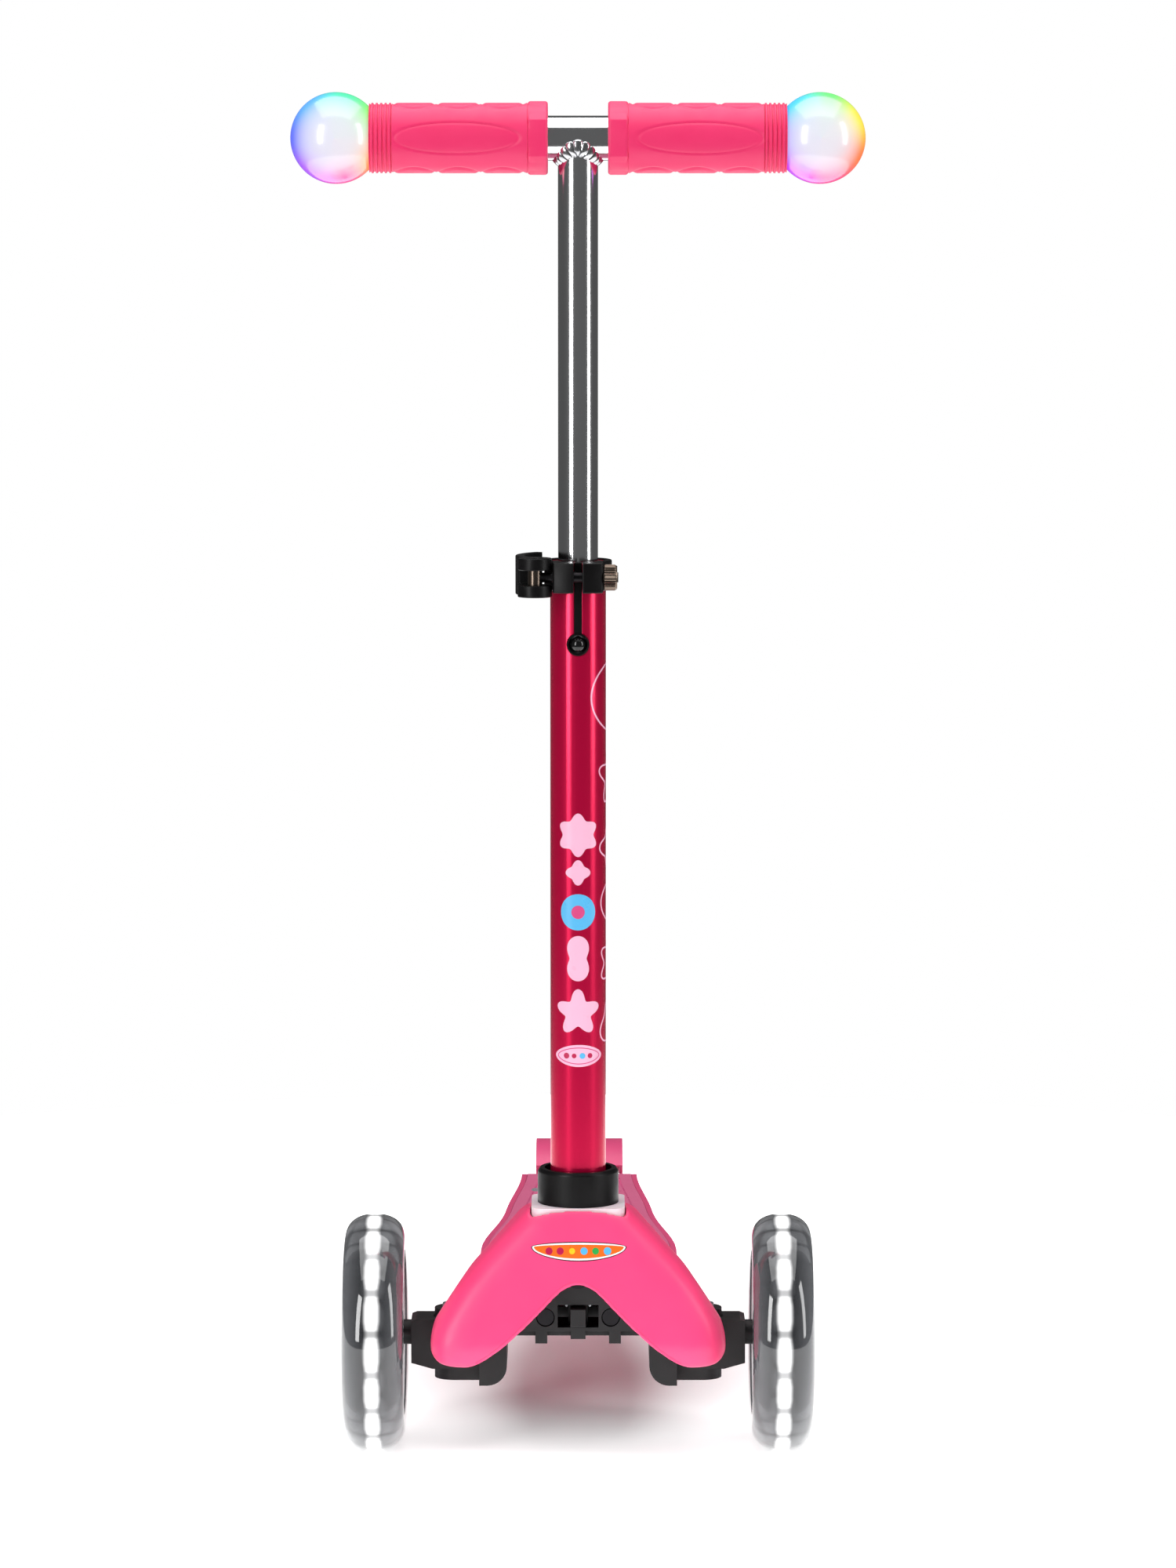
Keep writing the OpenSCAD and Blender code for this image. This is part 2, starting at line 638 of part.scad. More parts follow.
module rear_axle() color(steel) at_rear() {
    rod_x(-cheek_in - cheek_t - seat_gap, cheek_in + cheek_t + 7, axle_r);
    translate([-cheek_in - cheek_t - 5, 0, 0]) rotate([0, 90, 0]) cylinder(h = 5 - seat_gap, r = 7.2, $fn = 6);
}

module rear_axle_fittings() color(steel) at_rear() {
    translate([cheek_in + cheek_t + seat_gap, 0, 0]) rotate([0, 90, 0]) difference() {
        cylinder(h = 6, r = 7.2, $fn = 6);
        translate([0, 0, -1]) cylinder(h = 10, r = axle_r + press_gap);
    }
    both_sides() ring_x(rear_tyre_w / 2 - 1.2, cheek_in - seat_gap, axle_r + press_gap, axle_r + 2);
}

// ---- Brake ----
module brake_fender() color(deep_pink) at_rear() {
    half = fender_w / 2;
    mid = (brake_in + brake_out) / 2;
    link = [[pivot_y, pivot_z + 5.2], [pivot_y, pivot_z - 5.2], [-26, 19], [-22, 30],
        [pivot_y + 13, pivot_z + 5.2]];
    tail = [[mid * cos(25), mid * sin(25)], [tail_reach, 24], [tail_reach, 24 + fender_t],
        [mid * cos(28), mid * sin(28)]];
    difference() {
        union() {
            facing_x() rotate([0, 0, 24]) rotate_extrude(angle = 106, $fn = 96) polygon([[34, -half],
                [brake_out, -half], [brake_out, half], [34, half], [34, half - fender_t],
                [brake_in, half - fender_t], [brake_in, -half + fender_t], [34, -half + fender_t]]);
            both_sides() translate([half - fender_t, 0, 0]) facing_x() linear_extrude(fender_t) union() {
                polygon(link);
                translate([pivot_y, pivot_z]) circle(r = 5.5);
            }
            translate([-half + 3, 0, 0]) facing_x() linear_extrude(fender_w - 6) polygon(tail);
        }
        translate([0, pivot_y, pivot_z]) rod_x(-40, 40, 2.5 + run_gap);
    }
}

module brake_pin() color(steel) at_rear() translate([0, pivot_y, pivot_z]) rod_x(-28.8, 28.8, 2.5);

module brake_spring() color(steel) at_rear() translate([-8, pivot_y, pivot_z]) rotate([0, 90, 0])
    coil(3.8, 1.2, 16, 8);

// ---- Lower tube and clamp ----
module lower_tube() color(magenta) at_front() difference() {
    translate([0, 0, tube_bottom]) cylinder(h = lower_top - tube_bottom, r = lower_r, $fn = 96);
    translate([0, 0, tube_bottom - 1]) cylinder(h = lower_top, r = lower_bore, $fn = 96);
    box(-1.95, 1.95, -lower_r - 1, 0, ball_z, lower_top + 1);
    translate([0, 0, ball_z]) rod_y(-lower_r - 2, 0, 5.65);
}

module tube_plug() color(black) at_front() translate([0, 0, tube_bottom])
    cylinder(h = 12, r = lower_bore - press_gap);

module guide_shim() color(black) at_front() {
    difference() {
        union() {
            translate([0, 0, ball_z - 17]) cylinder(h = lower_top - ball_z + 17, r = lower_bore - press_gap);
            box(-1.9, 1.9, -lower_r, 0, ball_z, lower_top);
            translate([0, 0, ball_z]) rod_y(-lower_r - 0.7, 0, 5.6);
        }
        translate([0, 0, ball_z - 30]) cylinder(h = 200, r = upper_r + run_gap);
        translate([0, 0, ball_z]) rod_y(-lower_r - 2, 0, 4.7);
    }
}

module clamp_collar() color(black) at_front() translate([0, 0, clamp_z]) difference() {
    linear_extrude(clamp_h) difference() {
        union() {
            circle(r = clamp_r);
            intersection() {
                circle(r = 8 - ear_y);
                translate([-ear_half, ear_y - 8]) square([2 * ear_half, -ear_y]);
            }
        }
        circle(r = lower_r + slide_gap / 6);
        translate([-clamp_slit / 2, -50]) square([clamp_slit, 50]);
    }
    translate([0, ear_y, clamp_h / 2]) rod_x(-30, 30, clamp_bolt_d / 2 + press_gap);
}

module clamp_bolt() color(steel) at_front() translate([0, ear_y, clamp_mid])
    rod_x(cam_x, ear_half + 7.5, clamp_bolt_d / 2);

module clamp_nut() color("#6F6254") at_front() translate([0, ear_y, clamp_mid])
    ring_x(ear_half + 0.2, ear_half + 7, clamp_bolt_d / 2 + press_gap, clamp_nut_d / 2);

module barrel_pin() color(steel) at_front() translate([cam_x, ear_y, clamp_mid]) difference() {
    translate([0, 0, -lever_h / 2 + 0.6]) cylinder(h = lever_h - 1.2, r = barrel_r);
    rod_x(0, 20, clamp_bolt_d / 2 + press_gap);
}

// The lever curls back round the tube. Its fork holds the barrel pin.
module clamp_lever() color(black) at_front() {
    outer = norm([cam_x, ear_y]) + 1.4;
    inner = outer - 4.6;
    pin_angle = atan2(ear_y, cam_x) + 360;
    tip_angle = 132;
    reach = 2 * outer;
    difference() {
        translate([0, 0, clamp_mid - lever_h / 2]) linear_extrude(lever_h) difference() {
            union() {
                translate([cam_x, ear_y]) circle(r = cam_r);
                intersection() {
                    difference() {
                        circle(r = outer);
                        circle(r = inner);
                    }
                    polygon([[0, 0], for (a = [tip_angle, 178, pin_angle - 3]) reach * [cos(a), sin(a)]]);
                }
            }
            translate([cam_x, ear_y]) circle(r = barrel_r + run_gap);
        }
        // gap between the prongs of the fork
        box(-reach, reach, ear_y - 2 * cam_r, ear_y + cam_r + 1.5, clamp_mid - lever_h / 2 + prong_h,
            clamp_mid + lever_h / 2 - prong_h);
    }
}

module ball_button() color(black) at_front() translate([0, 0, ball_z]) {
    reach = lower_r + 2.8;
    rod_y(-reach + ball_d / 2, -upper_r - 2.8, ball_d / 2);
    translate([0, -reach + ball_d / 2, 0]) difference() {
        sphere(r = ball_d / 2);
        box(-10, 10, 0, 10, -10, 10);
    }
}

// ---- Upper tube and handlebar ----
module upper_tube() color("#D8DADC") at_front() difference() {
    translate([0, 0, upper_bottom]) cylinder(h = bar_z - upper_bottom, r = upper_r, $fn = 96);
    translate([0, 0, upper_bottom - 1]) cylinder(h = bar_z, r = upper_r - bar_wall, $fn = 96);
    translate([0, 0, bar_z]) rod_x(-30, 30, bar_r + press_gap);
}

module upper_plug() color(black) at_front() translate([0, 0, upper_bottom]) {
    cylinder(h = 8, r = upper_r - bar_wall - press_gap);
    translate([0, 0, -3]) cylinder(h = 3 - seat_gap, r = upper_r - 0.2);
    translate([0, 0, -1]) cylinder(h = 2, r = upper_r - bar_wall - 1);
}

module crossbar() color("#D8DADC") at_front() translate([0, 0, bar_z])
    ring_x(-bar_end, bar_end, bar_r - bar_wall, bar_r);

module weld_bead() color("#C9CBCD") at_front() difference() {
    translate([0, 0, bar_z - bar_r - 2.5]) cylinder(h = bar_r, r1 = upper_r + 1, r2 = upper_r + 3.2);
    cylinder(h = bar_z, r = upper_r + press_gap);
    translate([0, 0, bar_z]) rod_x(-30, 30, bar_r + press_gap);
}

module grip() color(deep_pink) at_front() translate([0, 0, bar_z]) difference() {
    rib_pitch = 2.2;
    ribs = 5;
    ribs_start = grip_end - ribs * rib_pitch;
    union() {
        intersection() {
            rotate([30, 0, 0]) translate([grip_gap, 0, 0]) rotate([0, 90, 0])
                rotate([0, 0, 30]) cylinder(h = flange_w, r = flange_d / 2 + 0.6, $fn = 6);
            rod_x(grip_gap, flange_out, flange_d / 2);
        }
        rod_x(flange_out - 1, ribs_start, grip_d / 2);
        rod_x(ribs_start - 1, grip_end, grip_d / 2 - 0.8);
        for (i = [0 : ribs - 1])
            rod_x(ribs_start + i * rib_pitch, ribs_start + i * rib_pitch + 1.3, grip_d / 2);
    }
    rod_x(0, bar_end + 0.2, bar_r + run_gap);
    rod_x(0, globe_x - cup_r, stem_r + slide_gap);
    for (x = [0, globe_travel]) translate([globe_x - x, 0, 0]) sphere(r = cup_r, $fn = 96);
}

module light_modules() color("#3B6B4A") at_front() translate([0, 0, bar_z]) both_sides() difference() {
    rod_x(bar_end - module_l, bar_end - 0.5, bar_r - bar_wall - 0.2);
    rod_x(stem_in - globe_travel - 1, bar_end + 5, stem_r + run_gap);
}

module light_globe() color([0.95, 0.97, 1, 0.6]) at_front() translate([globe_x, 0, bar_z]) difference() {
    union() {
        sphere(r = globe_r, $fn = 96);
        rod_x(stem_in - globe_x, 0, stem_r);
    }
    sphere(r = globe_r - globe_wall, $fn = 96);
    rod_x(stem_in - globe_x - 1, 0, stem_r - 1.5);
}

deck();
deck_mat();
deck_screws();
front_cover();
cover_gasket();
chassis_body();
chassis_base();
chassis_screws();
lean_pin();
kingpins();
steering_springs();
rear_axle();
rear_axle_fittings();
brake_pin();
brake_spring();
steering_head();
head_bushes();
button_spring();
release_button();
tie_rod();
knuckle();  // knuckle_left
right_side() knuckle();  // knuckle_right
axle_stud();  // axle_stud_left
right_side() axle_stud();  // axle_stud_right
axle_nut();  // axle_nut_left
right_side() axle_nut();  // axle_nut_right
front_tyre();  // front_tyre_left
right_side() front_tyre();  // front_tyre_right
front_hub();  // front_hub_left
right_side() front_hub();  // front_hub_right
light_ring();  // light_ring_left
right_side() light_ring();  // light_ring_right
wheel_bearings();  // wheel_bearings_left
right_side() wheel_bearings();  // wheel_bearings_right
hub_cap();  // hub_cap_left
right_side() hub_cap();  // hub_cap_right
rear_tyre();
rear_hub();
rear_bearings();
brake_fender();
lower_tube();
tube_plug();
guide_shim();
clamp_collar();
clamp_bolt();
clamp_nut();
barrel_pin();
clamp_lever();
ball_button();
upper_tube();
upper_plug();
crossbar();
weld_bead();
grip();  // grip_left
right_side() grip();  // grip_right
light_modules();
light_globe();  // light_globe_left
right_side() light_globe();  // light_globe_right
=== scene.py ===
from math import cos, exp, hypot, pi, radians, sin, sqrt

import bmesh
import bpy
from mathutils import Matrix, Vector
from mathutils.bvhtree import BVHTree


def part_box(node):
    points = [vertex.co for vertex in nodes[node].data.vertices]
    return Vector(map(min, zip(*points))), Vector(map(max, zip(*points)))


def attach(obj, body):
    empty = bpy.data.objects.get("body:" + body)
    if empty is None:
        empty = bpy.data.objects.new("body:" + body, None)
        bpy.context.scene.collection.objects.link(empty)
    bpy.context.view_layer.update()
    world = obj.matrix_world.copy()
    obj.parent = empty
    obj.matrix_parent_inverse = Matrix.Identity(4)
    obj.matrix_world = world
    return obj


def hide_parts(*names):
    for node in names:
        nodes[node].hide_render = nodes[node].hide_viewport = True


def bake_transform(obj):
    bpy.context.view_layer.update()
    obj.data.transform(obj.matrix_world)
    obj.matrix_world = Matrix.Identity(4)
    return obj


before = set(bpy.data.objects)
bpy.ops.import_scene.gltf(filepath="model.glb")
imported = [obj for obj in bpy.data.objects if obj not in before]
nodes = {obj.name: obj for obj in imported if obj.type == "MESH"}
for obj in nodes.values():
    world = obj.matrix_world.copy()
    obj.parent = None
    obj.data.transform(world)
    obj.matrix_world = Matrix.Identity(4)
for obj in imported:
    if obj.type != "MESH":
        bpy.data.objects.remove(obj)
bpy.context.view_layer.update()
bpy.context.scene.view_settings.view_transform = "Standard"
mm = 0.001


def centreOf(node):
    low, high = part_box(node)
    return (low + high) / 2


frontAxle = Vector((0, centreOf("front_tyre_left").y, centreOf("front_tyre_left").z))
barCentre = centreOf("crossbar")
print("frame loaded:", len(nodes), "nodes")

# Small helpers for meshes
meshRules = {"merge": 1e-6, "flat": 1e-7, "sharp": 32, "segments": 4}


def around(count):
    return [2 * pi * i / count for i in range(count)]


def putIn(name, data):
    made = bpy.data.objects.new(name, data)
    bpy.context.scene.collection.objects.link(made)
    return made


def newPiece(name, verts, faces, sharpAngle=35):
    mesh = bpy.data.meshes.new(name)
    mesh.from_pydata([tuple(v) for v in verts], [], faces)
    work = bmesh.new()
    work.from_mesh(mesh)
    bmesh.ops.remove_doubles(work, verts=work.verts, dist=meshRules["merge"])
    bmesh.ops.dissolve_degenerate(work, dist=meshRules["flat"], edges=work.edges)
    bmesh.ops.recalc_face_normals(work, faces=work.faces)
    for face in work.faces:
        face.smooth = True
    for edge in work.edges:
        if len(edge.link_faces) == 2 and edge.calc_face_angle() > radians(sharpAngle):
            edge.smooth = False
    work.to_mesh(mesh)
    work.free()
    return putIn(name, mesh)


def roundEdges(piece, width):
    bevel = piece.modifiers.new("rounding", "BEVEL")
    bevel.width = width * mm
    bevel.segments = meshRules["segments"]
    bevel.limit_method = "ANGLE"
    bevel.angle_limit = radians(meshRules["sharp"])


# A smoothly shaded copy of a CAD node, with its edges rounded, and its points moved where others are given
def smoothCopy(name, node, rounding, points=None):
    mesh = nodes[node].data
    piece = newPiece(name, points or [v.co for v in mesh.vertices], [tuple(f.vertices) for f in mesh.polygons],
                     meshRules["sharp"])
    roundEdges(piece, rounding)
    return piece


# Joins rows of points into a skin. Rows close on themselves; the first and last row may join too.
def skin(name, rows, ring=False, sharpAngle=35):
    count = len(rows[0])
    verts = [p for row in rows for p in row]
    faces = []
    for i in range(len(rows) if ring else len(rows) - 1):
        a = i * count
        b = (i + 1) % len(rows) * count
        for j in range(count):
            k = (j + 1) % count
            faces.append((a + j, a + k, b + k, b + j))
    if not ring:
        faces.append(tuple(range(count - 1, -1, -1)))
        faces.append(tuple(range((len(rows) - 1) * count, len(rows) * count)))
    return newPiece(name, verts, faces, sharpAngle)


# Turns a closed outline of (x, radius) about a line along X.
def turned(name, outline, centre, steps=96, sharpAngle=35):
    rows = [[Vector((x, centre.y + r * cos(a), centre.z + r * sin(a))) for x, r in outline] for a in around(steps)]
    return skin(name, rows, True, sharpAngle)


def roundOff(points, radius, steps=4):
    out = []
    for i, p in enumerate(points):
        p = Vector(p)
        before = Vector(points[i - 1]) - p
        after = Vector(points[(i + 1) % len(points)]) - p
        cut = min(radius, before.length * 0.45, after.length * 0.45)
        a = p + before.normalized() * cut
        b = p + after.normalized() * cut
        for s in range(steps + 1):
            t = s / steps
            out.append(tuple(a * (1 - t) ** 2 + p * 2 * t * (1 - t) + b * t ** 2))
    return out


def smoothStep(low, high, value):
    t = max(0, min(1, (value - low) / (high - low)))
    return t * t * (3 - 2 * t)


# Small helpers for materials


def sRgb(code):
    values = [int(code[i:i + 2], 16) / 255 for i in (1, 3, 5)]
    return [v / 12.92 if v <= 0.04045 else ((v + 0.055) / 1.055) ** 2.4 for v in values] + [1]


# Adds one node: its settings by name, and its inputs by name or place, as values or sockets to link.
def addNode(tree, kind, inputs=None, **settings):
    made = tree.nodes.new(kind)
    for key, value in settings.items():
        setattr(made, key, value)
    for key, value in (inputs or {}).items():
        if isinstance(value, bpy.types.NodeSocket):
            tree.links.new(value, made.inputs[key])
        else:
            made.inputs[key].default_value = value
    return made


def newMaterial(name, colour, roughness, metallic=0.0, **sockets):
    material = bpy.data.materials.new(name)
    material.use_nodes = True
    shader = material.node_tree.nodes["Principled BSDF"]
    shader.inputs["Base Color"].default_value = sRgb(colour)
    shader.inputs["Roughness"].default_value = roughness
    shader.inputs["Metallic"].default_value = metallic
    for key, value in sockets.items():
        shader.inputs[key.replace("_", " ")].default_value = value
    return material, material.node_tree, shader


def objectPoint(tree):
    return addNode(tree, "ShaderNodeTexCoord").outputs["Object"]


# X, Y and Z of the shaded point from the given centre
def placeFrom(tree, centre):
    away = addNode(tree, "ShaderNodeVectorMath", {0: objectPoint(tree), 1: centre}, operation="SUBTRACT")
    return addNode(tree, "ShaderNodeSeparateXYZ", {"Vector": away.outputs[0]}).outputs


# Fine surface grain: noise of the given size in millimetres, as bump and as a little roughness.
def addGrain(tree, shader, size, depth, roughness, spread):
    grain = addNode(tree, "ShaderNodeTexNoise", {"Vector": objectPoint(tree), "Scale": 1 / (size * mm),
                                                 "Detail": 3.0})
    bump = addNode(tree, "ShaderNodeBump", {"Height": grain.outputs["Fac"], "Strength": 0.35,
                                            "Distance": depth * mm})
    tree.links.new(bump.outputs["Normal"], shader.inputs["Normal"])
    wide = addNode(tree, "ShaderNodeTexNoise", {"Vector": objectPoint(tree), "Scale": 1 / (size * 18 * mm),
                                                "Detail": 4.0})
    level = addNode(tree, "ShaderNodeMapRange", {"Value": wide.outputs["Fac"], "From Min": 0.3, "From Max": 0.7,
                                                 "To Min": roughness - spread, "To Max": roughness + spread})
    tree.links.new(level.outputs["Result"], shader.inputs["Roughness"])


# Slight drift between two near colours, as pigment in moulded plastic shows.
def addDrift(tree, shader, first, second, size):
    cloud = addNode(tree, "ShaderNodeTexNoise", {"Vector": objectPoint(tree), "Scale": 1 / (size * mm)})
    mix = addNode(tree, "ShaderNodeMix", {"Factor": cloud.outputs["Fac"], "A": sRgb(first), "B": sRgb(second)},
                  data_type="RGBA")
    tree.links.new(mix.outputs["Result"], shader.inputs["Base Color"])


# Faint lines along a drawn tube, as bump. Their noise is given back.
def addDrawnLines(tree, shader, squeeze, size, strength):
    stretch = addNode(tree, "ShaderNodeMapping", {"Vector": objectPoint(tree), "Scale": (1, 1, squeeze)})
    lines = addNode(tree, "ShaderNodeTexNoise", {"Vector": stretch.outputs["Vector"], "Scale": 1 / (size * mm)})
    bump = addNode(tree, "ShaderNodeBump", {"Height": lines.outputs["Fac"], "Strength": strength,
                                            "Distance": 0.02 * mm})
    tree.links.new(bump.outputs["Normal"], shader.inputs["Normal"])
    return lines.outputs["Fac"]


# The grain is its size, its depth, the roughness and how far that spreads. The drift is two colours and a size.
def grainyMaterial(name, colour, roughness, grain, metallic=0.0, drift=None, **sockets):
    material, tree, shader = newMaterial(name, colour, roughness, metallic, **sockets)
    addGrain(tree, shader, *grain)
    if drift:
        addDrift(tree, shader, *drift)
    return material


# Materials
# Moulded polypropylene: satin, with the fine spark-eroded grain of its mould
pinkPlastic = grainyMaterial("pinkPolypropylene", "#FA447C", 0.4, (0.5, 0.05, 0.4, 0.04),
                             drift=("#FB467E", "#F74078", 60), Specular_IOR_Level=0.45, Subsurface_Weight=0.06,
                             Subsurface_Radius=(0.004, 0.001, 0.002), Subsurface_Scale=0.6)

# Glass-filled nylon of the deck: a deeper, slightly greyed pink with a dull gloss
deckPlastic = grainyMaterial("pinkDeckNylon", "#D64778", 0.42, (0.7, 0.06, 0.42, 0.05),
                             drift=("#D9497A", "#D04474", 45), Subsurface_Weight=0.06,
                             Subsurface_Radius=(0.006, 0.001, 0.002), Subsurface_Scale=0.6)

# Printed polyurethane mat: greyer pink, matt, with a woven-looking emboss
matRubber = grainyMaterial("printedMat", "#CB5F86", 0.6, (1.2, 0.12, 0.6, 0.06), drift=("#CE6289", "#C5597F", 20))

# Soft thermoplastic grip rubber: deep pink, dull, with a powdery micro-texture
gripRubber = grainyMaterial("gripRubber", "#F02A6A", 0.5, (0.35, 0.05, 0.5, 0.05), drift=("#F22E6E", "#EC2664", 25),
                            Sheen_Weight=0.12, Sheen_Roughness=0.5)

# Anodised 6061 tube under clear lacquer: deep magenta that keeps its colour in the shade, with pink highlights
magentaTube, tree, shader = newMaterial("anodisedMagenta", "#D00043", 0.27, 0.62, Coat_Weight=0.15,
                                        Coat_Roughness=0.12)
addDrawnLines(tree, shader, 0.02, 0.25, 0.12)

# Polished aluminium tube: mirror-like with faint lengthwise drawing lines
polished, tree, shader = newMaterial("polishedAluminium", "#DEDFE1", 0.12, 1.0)
lines = addDrawnLines(tree, shader, 0.015, 0.3, 0.1)
level = addNode(tree, "ShaderNodeMapRange", {"Value": lines, "To Min": 0.08, "To Max": 0.18})
tree.links.new(level.outputs["Result"], shader.inputs["Roughness"])

# Weld metal, left as welded: bright with a rippled, slightly frosted skin
weldMetal = grainyMaterial("weldMetal", "#B9B9BC", 0.24, (0.6, 0.06, 0.22, 0.08), 1.0)

# Glass-filled black nylon: dense black with a soft broad highlight
blackNylon = grainyMaterial("blackNylon", "#070607", 0.36, (0.45, 0.05, 0.4, 0.06), Specular_IOR_Level=0.2)

# The chassis and the knuckles: the same nylon, a little browner and duller
dullNylon = grainyMaterial("chassisNylon", "#110F11", 0.5, (0.6, 0.07, 0.5, 0.06), Specular_IOR_Level=0.4)

# Acetal button: glossy black
glossBlack = grainyMaterial("glossAcetal", "#0D0D0E", 0.12, (1.5, 0.01, 0.13, 0.03))

# Zinc-plated steel: bright grey, faintly mottled
zincSteel = grainyMaterial("zincSteel", "#B4B6BA", 0.3, (0.8, 0.02, 0.3, 0.07), 1.0)

# Blackened steel of the chassis screws: dark, with a dull metallic glint
blackSteel = grainyMaterial("blackOxideSteel", "#2A292B", 0.42, (0.5, 0.02, 0.42, 0.08), 1.0)

# Black-nickel steel of the knurled nut: dark bronze with sharp highlights
bronzeNut = grainyMaterial("blackNickel", "#6E6258", 0.26, (0.5, 0.02, 0.26, 0.06), 1.0)

# Oil-filled bronze bush: dull yellow metal with open pores
bushBronze = grainyMaterial("bushBronze", "#B98A45", 0.45, (0.3, 0.03, 0.45, 0.08), 1.0)

# White ABS of hubs and caps: clean moulded gloss
whiteAbs = grainyMaterial("whiteAbs", "#F1F1F3", 0.28, (0.9, 0.02, 0.28, 0.04))

# Silicone of the gasket: pale, soft and matt, with a little light in its edges
paleSilicone = grainyMaterial("paleSilicone", "#EAD8DF", 0.55, (0.6, 0.03, 0.55, 0.05), Subsurface_Weight=0.15,
                              Subsurface_Scale=0.002)

# Solder mask of the light modules: smooth, glossy green
solderMask = grainyMaterial("solderMask", "#2F6B47", 0.35, (0.8, 0.02, 0.35, 0.05))

# Printed vinyl decals: flat ink with a thin clear coat
inks = {}
for name, colour in {"paleInk": "#EFB4CF", "skyInk": "#57B3E4", "orangeInk": "#F26A1B", "darkInk": "#2A1A20",
                     "whiteInk": "#F6F3F4", "redInk": "#B5124A", "greenInk": "#2FA24A", "yellowInk": "#F7C325",
                     "roseInk": "#D2477F", "greyInk": "#8D9096"}.items():
    inks[name] = grainyMaterial(name, colour, 0.3, (0.4, 0.01, 0.3, 0.04), Coat_Weight=0.3, Coat_Roughness=0.1)
print("materials made")


# Clear polyurethane tyre: smoky and glassy, with painted shade in its middle and painted sheen towards its shoulders,
# and the lamps of the light band glowing in its middle
# The middle colour is painted shade and the shoulder colour is painted sheen
tyreLook = {"halfBand": 3.3, "edge": 3.2, "lamps": 18, "narrow": 0.82, "dim": 0.34, "strength": 1.5,
            "middle": "#2C2D30", "shoulderSheen": "#707276"}


def tyreMaterial(name, centre, half, lit):
    material, tree, shader = newMaterial(name, "#5A5C60", 0.06, IOR=1.49, Coat_Weight=0.5, Coat_Roughness=0.03)
    shader.inputs["Transmission Weight"].default_value = 0.42
    if not lit:
        return material
    place = placeFrom(tree, centre)
    across = addNode(tree, "ShaderNodeMath", {0: place["X"]}, operation="ABSOLUTE")
    # Painted shading across the tyre: painted shade towards the middle, painted sheen towards the shoulders
    depth = addNode(tree, "ShaderNodeMapRange", {"Value": across.outputs[0], "From Min": half * 0.25,
                                                 "From Max": half * 0.95})
    paintedShadeAndSheen = addNode(tree, "ShaderNodeMix", {"Factor": depth.outputs[0], "A": sRgb(tyreLook["middle"]),
                                            "B": sRgb(tyreLook["shoulderSheen"])}, data_type="RGBA")
    tree.links.new(paintedShadeAndSheen.outputs["Result"], shader.inputs["Base Color"])
    angle = addNode(tree, "ShaderNodeMath", {0: place["Z"], 1: place["Y"]}, operation="ARCTAN2")
    turns = addNode(tree, "ShaderNodeMath", {0: angle.outputs[0], 1: tyreLook["lamps"]}, operation="MULTIPLY")
    wave = addNode(tree, "ShaderNodeMath", {0: turns.outputs[0]}, operation="COSINE")
    wave = addNode(tree, "ShaderNodeMapRange", {"Value": wave.outputs[0], "From Min": -1.0})
    opening = addNode(tree, "ShaderNodeMapRange", {"Value": wave.outputs[0], "From Min": 0.0, "From Max": 0.8,
                                                   "To Min": tyreLook["narrow"] * tyreLook["halfBand"] * mm,
                                                   "To Max": tyreLook["halfBand"] * mm},
                      interpolation_type="SMOOTHSTEP")
    gap = addNode(tree, "ShaderNodeMath", {0: opening.outputs[0], 1: across.outputs[0]}, operation="SUBTRACT")
    band = addNode(tree, "ShaderNodeMapRange", {"Value": gap.outputs[0], "From Min": -0.5 * tyreLook["edge"] * mm,
                                                "From Max": 0.5 * tyreLook["edge"] * mm},
                   interpolation_type="SMOOTHSTEP")
    dim = addNode(tree, "ShaderNodeMapRange", {"Value": wave.outputs[0], "From Max": 0.16,
                                               "To Min": tyreLook["dim"] * tyreLook["strength"],
                                               "To Max": tyreLook["strength"]}, interpolation_type="SMOOTHSTEP")
    glow = addNode(tree, "ShaderNodeMath", {0: band.outputs[0], 1: dim.outputs[0]}, operation="MULTIPLY")
    tree.links.new(glow.outputs[0], shader.inputs["Emission Strength"])
    shader.inputs["Emission Color"].default_value = (1, 1, 1, 1)
    return material


